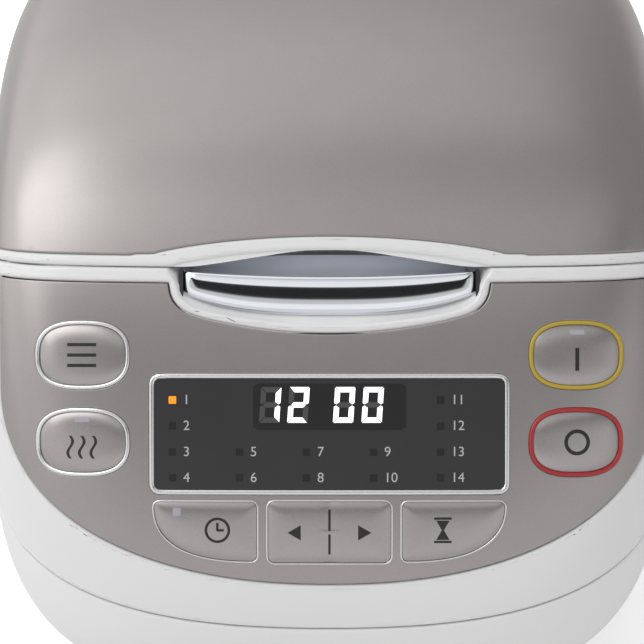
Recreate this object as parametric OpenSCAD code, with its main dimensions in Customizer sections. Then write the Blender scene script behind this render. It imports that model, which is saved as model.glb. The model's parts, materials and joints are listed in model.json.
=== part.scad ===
// Countertop rice cooker with a hinged dome lid, a sloped control panel and an eye-shaped latch.
// Millimetres, +Z up, front towards -Y, origin on the table under the middle of the body.

/* [Body] */
// Half of the body's width
half_w = 135; // [110:1:160]
// Reach of the plan in front of its widest section
front_reach = 155.8; // [120:0.2:180]
// Reach of the plan behind its widest section
rear_reach = 189.6; // [150:0.2:220]
// Height of the lid's crown above the table
body_h = 215; // [180:1:240]
// Y of the widest section of the plan
plan_y = -20; // [-40:1:20]
// Roundness of the plan: 2 is an ellipse, more is squarer
plan_n = 3.6; // [2:0.1:6]
// Height of the widest section
widest_z = 98; // [80:1:120]
// Share of the width lost at table level
taper = 0.38; // [0.1:0.01:0.5]
// How late the taper sets in towards the table
taper_n = 3.4; // [1.5:0.1:5]
// Radius of the lid's crown across the width
crown_rx = 950; // [400:10:2000]
// Radius of the lid's crown from front to back
crown_ry = 420; // [300:10:800]
// Tightness of the blend between wall, crown and panel
blend_n = 9; // [5:0.5:14]
// Wall of the moulded housings
wall = 2.6; // [1.8:0.1:4]

/* [Control panel] */
// Elevation of the panel's outward normal
panel_tilt = 43; // [30:1:60]
// Distance of the panel plane from the middle of the form
panel_far = 129; // [110:0.5:150]
// Sideways crown radius of the panel
panel_r = 1080; // [400:10:3000]
// Height of the display's middle along the panel
panel_v0 = 15; // [0:0.5:30]
// Width of the shoulder beside the bib-shaped panel
bib_edge = 9; // [5:0.5:20]
// Drop of the bib below its widest line
bib_h = 75.4; // [50:0.2:90]
// Height of the bib's widest line over the display's middle
bib_v = 18.4; // [0:0.2:30]
// Thickness of the panel skin
panel_t = 2.4; // [1.5:0.1:4]
// Dark joint line round the panel
panel_gap = 0.4; // [0.2:0.1:1]

/* [Lid] */
// Height of the seam along the sides
seam_z = 148; // [130:1:170]
// Height of the seam at the front
seam_front = 181; // [160:1:195]
// Y of the seam's highest point at the front
seam_y = -81.2; // [-100:0.2:-60]
// Fall of the seam from the front to the sides
seam_slope = 0.66; // [0.3:0.01:1]
// Length over which the seam levels out
seam_round = 40; // [10:1:60]
// Open line between lid and body
seam_gap = 0.6; // [0.4:0.1:1.5]
// Height of the white rim on the lid
lid_rim = 4.85; // [3:0.05:8]
// Height of the white rim on the body
body_rim = 6.5; // [4:0.1:9]
// Thickness of the lid's metallic cover
cover_t = 2.2; // [1.5:0.1:4]
// Hinge axis behind the middle
hinge_y = 150; // [140:0.5:160]
// Hinge axis under the lid's crown
hinge_drop = 38; // [30:0.5:50]
// Radius of the lid's hinge barrel
barrel_r = 7.5; // [5:0.5:12]
// Half of the length of the lid's hinge barrel
barrel_x = 60; // [40:1:66]
// Radius of the hinge pin
pin_r = 2.5; // [2:0.1:4]
// Running clearance round a pin
pin_fit = 0.05; // [0.02:0.01:0.1]
// Middle of the steam vent front to back
vent_y = 95; // [80:1:105]
// Lean of the steam vent with the lid's surface
vent_lean = 11.5; // [0:0.5:20]

/* [Latch] */
// Half of the eye's width
eye_w = 56.6; // [40:0.2:70]
// Line of the eye's corners over the display's middle
eye_v = 56; // [50:0.2:60]
// Drop of the eye below its corners
eye_low = 14.6; // [8:0.2:20]
// Seam line at the eye's corners
eye_seam = 62.7; // [60:0.1:66]
// Rise of the lid's arch over the eye
eye_rise = 6.6; // [3:0.1:12]
// Width of the raised rim round the eye
eye_rim = 3.6; // [2:0.1:6]
// Back of the latch recess
recess_y = -66; // [-75:0.5:-60]
// Travel of the open button
button_travel = 3; // [1.5:0.1:4]
// Room left behind the pressed button
button_room = 1.8; // [0.3:0.1:4]
// Hook pivot front to back
hook_y = -65.5; // [-70:0.5:-60]
// Hook pivot over the table
hook_z = 158; // [150:0.5:172]

/* [Keys] */
// Width of the oval keys with their rings
oval_w = 36.2; // [28:0.2:44]
// Height of the oval keys with their rings
oval_h = 26.1; // [20:0.1:32]
// Space between the display frame and the oval keys
key_side = 7.2; // [3:0.1:12]
// Place of the upper oval keys along the panel
oval_v_top = 29.6; // [20:0.2:40]
// Place of the lower oval keys along the panel
oval_v_low = -3.2; // [-15:0.2:10]
// Width of a key ring's band
ring_w = 1.6; // [0.8:0.1:3]
// Width of the display frame
display_w = 135.4; // [100:0.2:160]
// Height of the display frame
display_h = 45.6; // [30:0.2:60]
// Width of the display frame's band
bezel_w = 1.9; // [1:0.1:4]
// Top line of the lower keys
low_v = -25.4; // [-35:0.2:-20]
// Height of the lower keys
low_h = 22.6; // [15:0.2:30]
// Inner side of the outer lower keys
low_in = 27.2; // [20:0.2:35]
// Outer side of the outer lower keys
low_out = 66.1; // [50:0.2:75]
// Half of the middle rocker key's width
rocker_w = 23.2; // [15:0.2:26]
// Travel of a key
key_travel = 0.8; // [0.4:0.1:1.5]
// Gap round a key
key_gap = 0.35; // [0.3:0.05:0.8]

/* [Pot] */
// Middle of the pot front to back
pot_y = 44; // [30:1:50]
// Outside radius of the pot
pot_r = 90; // [75:1:95]
// Underside of the pot over the table
pot_z = 44; // [35:1:60]
// Wall of the pot
pot_t = 2; // [1.2:0.1:3]
// Outside radius of the pot's flange
flange_r = 96.5; // [85:0.5:100]
// Radius of the round opening above the deck
mouth_r = 100; // [97:0.5:104]
// Depth of the pot's seat under the seam
pot_sink = 2.2; // [1:0.1:5]
// Radius of the heater plate
heater_r = 72; // [60:1:80]

/* [Base] */
// Height of the rubber feet
foot_h = 3; // [2:0.5:6]
// Radius of the rubber feet
foot_r = 9; // [6:0.5:14]
// Half the spacing of the feet across
foot_x = 58; // [40:1:70]
// Half the spacing of the feet front to back
foot_y = 82; // [60:1:110]
// Width of the power inlet's face
inlet_w = 36; // [28:1:44]
// Height of the power inlet's face
inlet_h = 26; // [20:1:34]

/* [Detail] */
// Facets of round parts
$fn = 72; // [48:4:128]
// Points round the moulded skin
skin_around = 60; // [48:4:96]

/* [Hidden] */

form_c = [0, plan_y, 60];
crown_y = 10;
pn = [0, -cos(panel_tilt), sin(panel_tilt)];
pv = [0, sin(panel_tilt), cos(panel_tilt)];
part_z = 74;
part_rise = 7;
base_z = foot_h;
base_top = base_z + 3;
foot_half = half_w * (1 - taper);
screw_front = foot_half - 9.2;
screw_rear = foot_half - 13.7;
screw_at = [[-screw_front, -101.5], [screw_front, -101.5], [-screw_rear, 90], [screw_rear, 90]];
bib_w = half_w - bib_edge;
hinge_z = body_h - hinge_drop;
oval_u = display_w / 2 + key_side + oval_w / 2;
inlet_x = -62;
inlet_z = 43;
trough_r = barrel_r + 1.5;
pin_l = 136;
deck_t = 2.4;
seat_z = seam_z - pot_sink;
white = [0.93, 0.93, 0.92];
taupe = [0.60, 0.57, 0.56];
silver = [0.78, 0.78, 0.79];
dark = [0.2, 0.2, 0.21];
steel = [0.7, 0.71, 0.73];
key_grey = [0.66, 0.64, 0.64];

// ---------------------------------------------------------------- the blended form
function dot(a, b) = a.x * b.x + a.y * b.y + a.z * b.z;
function unit(a) = a / norm(a);
function bulge(z) = 1 - taper * pow(max(0, (widest_z - z) / widest_z), taper_n);
function side(p, o) =
    let (b = (p.y < plan_y ? front_reach : rear_reach) - o)
    pow(pow(abs(p.x) / (half_w - o), plan_n) + pow(abs(p.y - plan_y) / b, plan_n), 1 / plan_n)
    / bulge(p.z);
function crown(p, o) =
    let (sag = p.x * p.x / (2 * crown_rx) + pow(p.y - crown_y, 2) / (2 * crown_ry))
    max(0, (p.z - form_c.z) / (body_h - o - sag - form_c.z));
function slope(p, o) =
    max(0, dot(p - form_c, pn) / (panel_far - o) + p.x * p.x / (2 * panel_r * panel_far));
function form(p, o) = pow(side(p, o), blend_n) + pow(crown(p, o), blend_n) + pow(slope(p, o), blend_n);
function hit(from, d, o, lo, hi, k = 20) =
    let (m = (lo + hi) / 2)
    k == 0 ? from + m * d
    : form(from + m * d, o) < 1 ? hit(from, d, o, m, hi, k - 1)
    : hit(from, d, o, lo, m, k - 1);

// Direction of a grid ray: t runs round the plan and f is its elevation.
function spow(a, e) = sign(a) * pow(abs(a), e);
function plan_dir(t) =
    unit([half_w * spow(sin(t), 2 / plan_n), -(front_reach + rear_reach) / 2 * spow(cos(t), 2 / plan_n), 0]);
function ray(t, f) = plan_dir(t) * cos(f) + [0, 0, sin(f)];

// Solid inside the form, o in from the outer skin, above the cone at elevation f0.
module skin(o, f0, rows) {
    n = skin_around;
    grid = [for (j = [0 : rows - 1], i = [0 : n - 1])
        hit(form_c, ray(360 * i / n, f0 + (90 - f0) * j / rows), o, 0, 260)];
    ends = [hit(form_c, [0, 0, 1], o, 0, 260), [0, plan_y, grid[0].z]];
    polyhedron(concat(grid, ends), concat(
        [for (j = [0 : rows - 2], i = [0 : n - 1]) [j * n + i, (j + 1) * n + (i + 1) % n, j * n + (i + 1) % n]],
        [for (j = [0 : rows - 2], i = [0 : n - 1]) [j * n + i, (j + 1) * n + i, (j + 1) * n + (i + 1) % n]],
        [for (i = [0 : n - 1]) [(rows - 1) * n + i, rows * n, (rows - 1) * n + (i + 1) % n]],
        [for (i = [0 : n - 1]) [(i + 1) % n, rows * n + 1, i]]), convexity = 8);
}

// Ring of points of the lower form at height z, o in from the outer skin.
function bowl_ring(o, z) =
    [for (i = [0 : skin_around - 1]) hit([0, plan_y, z], plan_dir(360 * i / skin_around), o, 0, 260)];

// Wall of thickness t round the lower form, open at both ends.
module bowl_wall(t, z0, z1, rows) {
    n = skin_around;
    heights = [for (j = [0 : rows]) z0 + (z1 - z0) * j / rows];
    rings = concat([for (z = heights) bowl_ring(0, z)], [for (j = [rows : -1 : 0]) bowl_ring(t, heights[j])]);
    k = len(rings);
    polyhedron([for (r = rings, p = r) p], concat(
        [for (j = [0 : k - 1], i = [0 : n - 1]) [j * n + i, (j + 1) % k * n + (i + 1) % n, j * n + (i + 1) % n]],
        [for (j = [0 : k - 1], i = [0 : n - 1]) [j * n + i, (j + 1) % k * n + i, (j + 1) % k * n + (i + 1) % n]]),
        convexity = 8);
}

// Solid inside the lower form between two heights, o in from the outer skin.
module bowl(o, z0, z1, rows) {
    n = skin_around;
    grid = [for (j = [0 : rows], p = bowl_ring(o, z0 + (z1 - z0) * j / rows)) p];
    ends = [[0, plan_y, z1], [0, plan_y, z0]];
    polyhedron(concat(grid, ends), concat(
        [for (j = [0 : rows - 1], i = [0 : n - 1]) [j * n + i, (j + 1) * n + (i + 1) % n, j * n + (i + 1) % n]],
        [for (j = [0 : rows - 1], i = [0 : n - 1]) [j * n + i, (j + 1) * n + i, (j + 1) * n + (i + 1) % n]],
        [for (i = [0 : n - 1]) [rows * n + i, (rows + 1) * n, rows * n + (i + 1) % n]],
        [for (i = [0 : n - 1]) [(i + 1) % n, (rows + 1) * n + 1, i]]), convexity = 8);
}

// ---------------------------------------------------------------- places on the panel
// Skin point at u across and v up the panel, v from the display's middle.
function on_skin(u, v) = hit([u, 0, 0] + pv * (v + panel_v0) + pn * 60, pn, 0, 0, 170);
function skin_u(u, v) = unit(on_skin(u + 3, v) - on_skin(u - 3, v));
function skin_n(u, v) = unit(cross(on_skin(u + 3, v) - on_skin(u - 3, v), on_skin(u, v + 3) - on_skin(u, v - 3)));

// Puts children on the skin at u, v: their XY plane is the tangent plane and +Z points out.
module on_panel(u, v) {
    p = on_skin(u, v);
    n = skin_n(u, v);
    x = unit([n.z, 0, -n.x]);
    y = cross(n, x);
    multmatrix([[x.x, y.x, n.x, p.x], [x.y, y.y, n.y, p.y], [x.z, y.z, n.z, p.z]]) children();
}

// Straight column along the panel's main normal from a flat outline in u, v.
module column(points, w0 = 90, w1 = 220) {
    translate(pv * panel_v0 + pn * w0) rotate([90 - panel_tilt, 0, 0])
        linear_extrude(w1 - w0) polygon(points);
}

// Sheet that follows the skin between two depths, over the rectangle u0..u1, v0..v1.
module sheet(u0, u1, v0, v1, nu, nv, low, high) {
    n = nu + 1;
    m = n * (nv + 1);
    top = [for (j = [0 : nv], i = [0 : nu]) on_skin(u0 + (u1 - u0) * i / nu, v0 + (v1 - v0) * j / nv) + pn * high];
    low_pts = [for (p = top) p + pn * (low - high)];
    polyhedron(concat(top, low_pts), concat(
        [for (j = [0 : nv - 1], i = [0 : nu - 1]) let (a = j * n + i) [a, a + n + 1, a + 1]],
        [for (j = [0 : nv - 1], i = [0 : nu - 1]) let (a = j * n + i) [a, a + n, a + n + 1]],
        [for (j = [0 : nv - 1], i = [0 : nu - 1]) let (a = j * n + i + m) [a, a + 1, a + n + 1]],
        [for (j = [0 : nv - 1], i = [0 : nu - 1]) let (a = j * n + i + m) [a, a + n + 1, a + n]],
        [for (i = [0 : nu - 1]) [i, i + 1, i + 1 + m]],
        [for (i = [0 : nu - 1]) [i, i + 1 + m, i + m]],
        [for (i = [0 : nu - 1]) let (a = nv * n + i) [a, a + m + 1, a + 1]],
        [for (i = [0 : nu - 1]) let (a = nv * n + i) [a, a + m, a + m + 1]],
        [for (j = [0 : nv - 1]) let (a = j * n) [a, a + n + m, a + n]],
        [for (j = [0 : nv - 1]) let (a = j * n) [a, a + m, a + n + m]],
        [for (j = [0 : nv - 1]) let (a = j * n + nu) [a, a + n, a + n + m]],
        [for (j = [0 : nv - 1]) let (a = j * n + nu) [a, a + n + m, a + m]]), convexity = 6);
}

// ---------------------------------------------------------------- outlines and zones
function ellipse_pts(a, b, e, n = 48) =
    [for (i = [0 : n - 1]) [a * spow(cos(360 * i / n), 2 / e), b * spow(sin(360 * i / n), 2 / e)]];
function round_rect(w, h, r, n = 6) =
    [for (c = [[1, 1, 0], [-1, 1, 90], [-1, -1, 180], [1, -1, 270]], i = [0 : n])
        [c.x * (w / 2 - r) + r * cos(c.z + 90 * i / n), c.y * (h / 2 - r) + r * sin(c.z + 90 * i / n)]];

// Bib outline of the panel, d in from its edge.
function bib_pts(d) = concat(
    [[bib_w - d, 110], [-bib_w + d, 110]],
    [for (i = [0 : 40]) let (t = 180 + 4.5 * i)
        [(bib_w - d) * spow(cos(t), 2 / 2.2), bib_v + (bib_h - d) * spow(sin(t), 2 / 2.2)]]);

// Seam height over y; g lowers it.
function seam_at(y) =
    let (flat = seam_y + (seam_front - seam_z) / seam_slope, y1 = flat + seam_round / 2, y0 = flat - seam_round / 2)
    y >= y1 ? seam_z
    : y > y0 ? seam_z + seam_slope * pow(y1 - y, 2) / (2 * seam_round)
    : seam_front - seam_slope * (y - seam_y);
function seam_pts(g) = [for (y = [-190 : 15 : -55]) [y, seam_at(y) - g],
    for (y = [-51 : 8 : -3]) [y, seam_at(y) - g]];

// Everything in front of the hinge line and below the seam lowered by g.
module below(g, rear = 0) {
    rotate([90, 0, 90]) linear_extrude(320, center = true)
        polygon(concat(seam_pts(g), [[hinge_y + rear, seam_z - g], [hinge_y + rear, 260], [200, 260],
            [200, -20], [-190, -20]]));
}
// Everything in front of the hinge line and above the seam raised by g.
module above(g, rear = 0.3) {
    rotate([90, 0, 90]) linear_extrude(320, center = true)
        polygon(concat(seam_pts(-g), [[hinge_y - rear, seam_z + g], [hinge_y - rear, 400], [-190, 400]]));
}

// Parting surface between lower case and shoulder: it climbs a little towards the sides.
module parting(dz) {
    pts = [for (x = [-150 : 10 : 150]) [x, part_z + dz + part_rise * pow(x / 100, 2)]];
    rotate([90, 0, 0]) linear_extrude(420, center = true)
        polygon(concat(pts, [[150, 300], [-150, 300]]));
}

// Eye outline seen from the front, grown by e, as x, z points of the skin.
function eye_low_v(u, e) = eye_v - (eye_low + e) * pow(1 - min(1, pow(abs(u) / (eye_w + e), 3.4)), 1 / 2.2);
function eye_top_v(u, e) = eye_seam + e + eye_rise * pow(cos(min(90, 90 * abs(u) / (eye_w + 4.4 + e))), 2);
function xz(p) = [p.x, p.z];
function eye_pts(e) = concat(
    [for (i = [-16 : 16]) let (u = (eye_w + e) * sin(90 * i / 16)) xz(on_skin(u, eye_low_v(u, e)))],
    [for (i = [12 : -1 : -12]) let (u = (eye_w + 4.4 + e) * i / 12) xz(on_skin(u, eye_top_v(u, e)))]);
module eye(e, y0 = -150, y1 = recess_y) {
    translate([0, y1, 0]) rotate([90, 0, 0]) linear_extrude(y1 - y0) polygon(eye_pts(e));
}

// Coil spring along +Z: mean radius r, wire radius w, height between wire middles h.
module coil(r, w, h, turns, steps = 14, sides = 8) {
    n = turns * steps;
    rings = [for (i = [0 : n], k = [0 : sides - 1])
        let (a = 360 * i / steps, b = 360 * k / sides, q = r + w * cos(b))
        [q * cos(a), q * sin(a), h * i / n + w * sin(b)]];
    polyhedron(rings, concat(
        [for (i = [0 : n - 1], k = [0 : sides - 1]) let (a = i * sides, b = (k + 1) % sides) [a + k, a + b, a + sides + b]],
        [for (i = [0 : n - 1], k = [0 : sides - 1]) let (a = i * sides, b = (k + 1) % sides) [a + k, a + sides + b, a + sides + k]],
        [[for (k = [sides - 1 : -1 : 0]) k]], [[for (k = [0 : sides - 1]) n * sides + k]]), convexity = 10);
}
module at_pot(z = 0) { translate([0, pot_y, z]) children(); }
module tube(r1, r0, h) { difference() { cylinder(h = h, r = r1); translate([0, 0, -1]) cylinder(h = h + 2, r = r0); } }
module x_rod(r, l) { rotate([0, 90, 0]) cylinder(h = l, r = r, center = true); }

// ---------------------------------------------------------------- housing
module lower_case() {
    color(white) difference() {
        union() {
            bowl_wall(wall, base_top, 96, 7);
            for (s = screw_at) translate([s.x, s.y, base_top]) cylinder(h = 16, r = 5.5, $fn = 32);
        }
        parting(0);
        for (s = screw_at) translate([s.x, s.y, base_top - 1]) cylinder(h = 12, r = 1.6, $fn = 32);
        translate([inlet_x, 140, inlet_z]) cube([inlet_w, 60, inlet_h]);
    }
}

module dew_slot(g = 0) {
    translate([-31 - g, 148.7 - g, 100 - g]) cube([62 + 2 * g, 60, 34 + 2 * g]);
}

module body_cavity() {
    difference() {
        intersection() { skin(wall, -14, 12); below(deck_t, deck_t); }
        at_pot(seat_z - deck_t) tube(mouth_r + 2, pot_r + 3.4, 60);
        eye(2.2, -150, recess_y + 2.2);
        translate([0, hinge_y, hinge_z]) x_rod(trough_r + 2.4, 240);
        dew_slot(1.8);
        for (s = [-1, 1]) translate([s * 11.5 - 1.5, hook_y - 4, hook_z - 4]) cube([3, 8, 16]);
    }
}

module upper_frame() {
    color(white) difference() {
        union() {
            difference() {
                intersection() { skin(0, -15, 12); parting(0); below(0, 0); }
                body_cavity();
                translate([0, hinge_y, hinge_z]) x_rod(trough_r, 2 * barrel_x + 0.6);
            }
            intersection() {
                skin(0, 18, 11);
                for (s = [-1, 1]) translate([s * (barrel_x + 15.3), hinge_y, hinge_z]) x_rod(barrel_r, 30);
            }
        }
        difference() {
            intersection() { column(bib_pts(0)); below(body_rim); }
            eye(eye_rim);
        }
        eye(0);
        at_pot(seat_z) cylinder(h = 60, r = mouth_r);
        at_pot(seat_z - 5) cylinder(h = 10, r = pot_r + 3.5);
        translate([-9.7, -71.5, 140]) cube([19.4, 13, 50]);
        translate([0, hinge_y, hinge_z]) x_rod(pin_r, pin_l);
        translate([0, hook_y, hook_z]) x_rod(1.5, 26);
        dew_slot();
    }
}

module feet() {
    color(dark) for (x = [-foot_x, foot_x], y = [-foot_y, foot_y]) translate([x, y, 0])
        rotate_extrude() polygon([[0, 0], [foot_r - 1, 0], [foot_r, 1], [foot_r, foot_h], [0, foot_h]]);
}

module base_plate() {
    color(white) difference() {
        bowl(0.6, base_z, base_top, 1);
        for (x = [-36 : 8 : 36], y = [-60, -24]) translate([x, y, 0]) cube([3, 26, 20], center = true);
        for (s = screw_at) translate([s.x, s.y, -1]) {
            cylinder(h = 20, r = 1.6, $fn = 32);
            cylinder(h = base_z + 2.4, r = 3.6, $fn = 32);
        }
    }
}

module base_screws() {
    color(steel) for (s = screw_at) translate([s.x, s.y, base_z - 0.2]) {
        cylinder(h = 1.6, r = 3.2, $fn = 32);
        cylinder(h = 11, r = 1.6, $fn = 32);
    }
}

module control_panel() {
    color(taupe) difference() {
        union() {
            intersection() {
                sheet(-bib_w - 3, bib_w + 3, -58, 72, 26, 13, -panel_t, 0);
                column(bib_pts(panel_gap));
                below(body_rim);
            }
            board_frame() for (x = [-75, 75], y = [-29, 29])
                translate([x, y, 0]) cylinder(h = post_h(x, y), r = 3, $fn = 32);
        }
        eye(eye_rim);
        panel_holes();
    }
}

// Outline of the left lower key: a quarter of a rounded square towards the panel's corner.
function low_key_pts(d) =
    let (a = low_out - low_in, b = low_h, r = 2.4)
    concat([[-low_in - d, low_v - b + d], [-low_in - d, low_v - d]],
        [for (i = [0 : 5]) [-low_out + r + d - r * sin(18 * i), low_v - r - d + r * cos(18 * i)]],
        [for (i = [1 : 14]) let (t = 90 * i / 15)
            [-low_in - (a - d) * pow(cos(t), 2 / 2.6), low_v - (b - d) * pow(sin(t), 2 / 2.6)]]);
function mirror_u(pts) = [for (i = [len(pts) - 1 : -1 : 0]) [-pts[i].x, pts[i].y]];
function shift(pts, u, v) = [for (p = pts) p + [u, v]];
rocker_v = low_v - low_h / 2 - 0.2;
ovals = [[-oval_u, oval_v_top], [-oval_u, oval_v_low], [oval_u, oval_v_top], [oval_u, oval_v_low]];

module oval_plug(d, z0, z1) {
    translate([0, 0, z0]) linear_extrude(z1 - z0) polygon(ellipse_pts(oval_w / 2 - d, oval_h / 2 - d, 2.6));
}

module panel_holes() {
    for (k = ovals) on_panel(k.x, k.y) oval_plug(0, -12, 12);
    column(round_rect(display_w, display_h, 4));
    local_column(low_key_pts(0), low_mid, -12, 12);
    local_column(mirror_u(low_key_pts(0)), [-low_mid.x, low_mid.y], -12, 12);
    column(shift(round_rect(2 * rocker_w, low_h + 0.8, 2.6), 0, rocker_v));
}

// Sheet under the whole display and d beyond it, up to a height over the skin.
module display_sheet(d, high) {
    u = display_w / 2 + d;
    v = display_h / 2 + d;
    sheet(-u, u, -v, v, 14, 5, -panel_t, high);
}
module display_bezel() {
    color(silver) intersection() {
        display_sheet(1.2, 0.5);
        difference() {
            column(round_rect(display_w, display_h, 4));
            column(round_rect(display_w - 2 * bezel_w, display_h - 2 * bezel_w, 2.4));
        }
    }
}

// Window of the digits.
digit_w = 57.2;
digit_h = 17.4;
digit_v = 10.3;
module display_window() {
    color(dark) difference() {
        intersection() {
            display_sheet(0.3, -0.2);
            column(round_rect(display_w - 2 * bezel_w, display_h - 2 * bezel_w, 2.4));
        }
        column(shift(round_rect(digit_w, digit_h, 1), 0, digit_v));
        for (m = marks) on_panel(m.x, m.y) cube([mark_s, mark_s, 9], center = true);
    }
}

module digit_plate() {
    color([0.1, 0.1, 0.1]) intersection() {
        sheet(-digit_w / 2 - 1.4, digit_w / 2 + 1.4, digit_v - digit_h / 2 - 1.4, digit_v + digit_h / 2 + 1.4,
            8, 2, -panel_t, -0.5);
        column(shift(round_rect(digit_w, digit_h, 1), 0, digit_v));
    }
}

// Menu markers: five columns, with the two upper rows only in the outer ones.
mark_s = 2.8;
mark_left = 8.8 - display_w / 2;
mark_pitch = (display_w - 34.9) / 4;
mark_u = [for (i = [0 : 4]) mark_left + i * mark_pitch];
mark_v = [12.8, 3.1, -6.7, -16.4];
marks = [for (i = [0 : 4], j = [0 : 3]) if (j > 1 || i == 0 || i == 4) [mark_u[i], mark_v[j]]];
module mark_plug(m, top) {
    on_panel(m.x, m.y) translate([-mark_s / 2, -mark_s / 2, -panel_t]) cube([mark_s, mark_s, panel_t + top]);
}
module menu_markers() {
    color([0.08, 0.08, 0.08]) for (i = [1 : len(marks) - 1]) mark_plug(marks[i], -0.1);
}
module menu_lamp() {
    color([1, 0.5, 0.05]) mark_plug(marks[0], 0);
}

// Seven-segment digits that lean to the right.
seg_l = 5.4;
seg_t = 1.9;
digit_u = [-22.2, -11.6, 5.5, 16.2];
lit = ["bc", "abged", "abcdef", "abcdef"];
function has(s, c) = len(search(c, s)) > 0;
module segment(c) {
    places = [["a", 0, 2, 0], ["g", 0, 0, 0], ["d", 0, -2, 0], ["f", -1, 1, 90], ["b", 1, 1, 90],
        ["e", -1, -1, 90], ["c", 1, -1, 90]];
    for (s = places) if (s[0] == c) translate([s[1] * seg_l * 0.56, s[2] * seg_l * 0.56]) rotate(s[3])
        polygon([[-seg_l / 2, 0], [-seg_l / 2 + seg_t / 2, seg_t / 2], [seg_l / 2 - seg_t / 2, seg_t / 2],
            [seg_l / 2, 0], [seg_l / 2 - seg_t / 2, -seg_t / 2], [-seg_l / 2 + seg_t / 2, -seg_t / 2]]);
}
module digits(on) {
    for (k = [0 : 3]) on_panel(digit_u[k], digit_v + 0.6) translate([0, 0, -0.5])
        multmatrix([[1, 0.066, 0, 0], [0, 1, 0, 0], [0, 0, 1, 0]]) linear_extrude(0.3)
            for (c = ["a", "b", "c", "d", "e", "f", "g"]) if (has(lit[k], c) == on) segment(c);
}
module digits_lit() { color([0.95, 0.97, 1]) digits(true); }
module digits_unlit() { color([0.3, 0.3, 0.31]) digits(false); }

module key_ring(k) {
    on_panel(k.x, k.y) difference() {
        oval_plug(0, -panel_t, 0.9);
        oval_plug(ring_w, -panel_t - 1, 2);
    }
}
module silver_rings() { color(silver) for (i = [0, 1]) key_ring(ovals[i]); }
module start_ring() { color([0.85, 0.68, 0.13]) key_ring(ovals[2]); }
module off_ring() { color([0.8, 0.12, 0.15]) key_ring(ovals[3]); }

// Key that moves along the skin's normal: cap, retaining flange and stem over its switch.
module stem(k, dx = 0) {
    end = reach(k) - switch_h - key_travel - 0.3;
    translate([dx, 0, -end]) cylinder(h = end - 3.5, r = 2.2, $fn = 32);
}
module oval_key(k) {
    color(key_grey) on_panel(k.x, k.y) {
        intersection() {
            oval_plug(ring_w + key_gap, -5, 3);
            translate([0, 0, 1.4 - 110]) sphere(r = 110, $fn = 144);
        }
        oval_plug(ring_w - 0.6, -5, -3.7);
        stem(k);
    }
}
module lamp(u, v, du, dv, w, h, top) {
    color([0.9, 0.9, 0.88]) on_panel(u, v) translate([du, dv, top]) cube([w, h, 1], center = true);
}
module lamp_hole(u, v, du, dv, w, h) {
    on_panel(u, v) translate([du, dv, 2]) cube([w, h, 6], center = true);
}
module menu_key() { oval_key(ovals[0]); }
module warm_key() { color(key_grey) difference() { oval_key(ovals[1]); lamp_hole(-oval_u, oval_v_low, 0, 8.6, 5.6, 1.9); } }
module warm_lamp() { lamp(-oval_u, oval_v_low, 0, 8.6, 5.6, 1.9, 0.55 - 1.05); }
module start_key() { color(key_grey) difference() { oval_key(ovals[2]); lamp_hole(oval_u, oval_v_top, 0, 8.6, 5.6, 1.9); } }
module start_lamp() { lamp(oval_u, oval_v_top, 0, 8.6, 5.6, 1.9, 0.55 - 1.05); }
module off_key() { oval_key(ovals[3]); }

// Straight column of a flat outline about a point of the panel, along the skin's normal there.
module local_column(pts, c, z0, z1) {
    on_panel(c.x, c.y) translate([0, 0, z0]) linear_extrude(z1 - z0) polygon(shift(pts, -c.x, -c.y));
}
module low_key(s) {
    c = [-s * low_mid.x, low_mid.y];
    cap = s < 0 ? low_key_pts(key_gap) : mirror_u(low_key_pts(key_gap));
    foot = s < 0 ? low_key_pts(-0.7) : mirror_u(low_key_pts(-0.7));
    color(key_grey) {
        intersection() {
            local_column(cap, c, -5, 4);
            on_panel(c.x, c.y) translate([0, 0, 1.1 - 160]) sphere(r = 160, $fn = 144);
        }
        local_column(foot, c, -5, -3.7);
        on_panel(c.x, c.y) stem(c);
    }
}
module timer_key() {
    difference() { low_key(-1); lamp_hole(timer_c.x, timer_c.y, -10.8, 7.5, 3, 3); }
}
module timer_lamp() { lamp(timer_c.x, timer_c.y, -10.8, 7.5, 3, 3, 0); }
module cook_key() { low_key(1); }
module rocker_key() {
    color(key_grey) on_panel(0, rocker_v) {
        difference() {
            intersection() {
                translate([0, 0, -5]) linear_extrude(9)
                    polygon(round_rect(2 * rocker_w - 2 * key_gap, low_h + 0.8 - 2 * key_gap, 2.3));
                translate([0, 0, 1.1 - 160]) sphere(r = 160, $fn = 144);
            }
            translate([0, 0, 1.3]) rotate([90, 0, 0]) cylinder(h = 40, r = 1.1, center = true, $fn = 32);
        }
        for (x = [-rocker_x, rocker_x]) stem([0, rocker_v], x);
    }
}

// ---------------------------------------------------------------- electronics
// The board lies board_depth under the panel's middle; reach() is the way from the skin to it.
board_depth = 16;
board_w = 106;
board_h = 33;
board_at = [0, -10];
board_n = skin_n(board_at.x, board_at.y);
board_o = on_skin(board_at.x, board_at.y) - board_depth * board_n;
board_y = cross(board_n, [1, 0, 0]);
low_mid = [-(low_in + low_out) / 2, low_v - low_h / 2];
timer_c = low_mid;
switch_h = 2.1;
function post_h(x, y) = dot(on_skin(x, y + board_at.y) - board_o, board_n) - panel_t / 2;
rocker_x = 14;
function reach(k) = dot(on_skin(k.x, k.y) - board_o, board_n) / dot(skin_n(k.x, k.y), board_n);
function on_board(k) = let (p = on_skin(k.x, k.y) - reach(k) * skin_n(k.x, k.y) - board_o) [p.x, dot(p, board_y)];
module board_frame() { on_panel(board_at.x, board_at.y) translate([0, 0, -board_depth]) children(); }
module control_board() {
    half = [[board_w, board_h], [board_w, -board_h / 3], [board_w - 20, -board_h]];
    color([0.1, 0.35, 0.2]) board_frame() translate([0, 0, -1.6]) linear_extrude(1.6)
        polygon(concat(half, [for (i = [2 : -1 : 0]) [-half[i].x, half[i].y]]));
}
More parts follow.
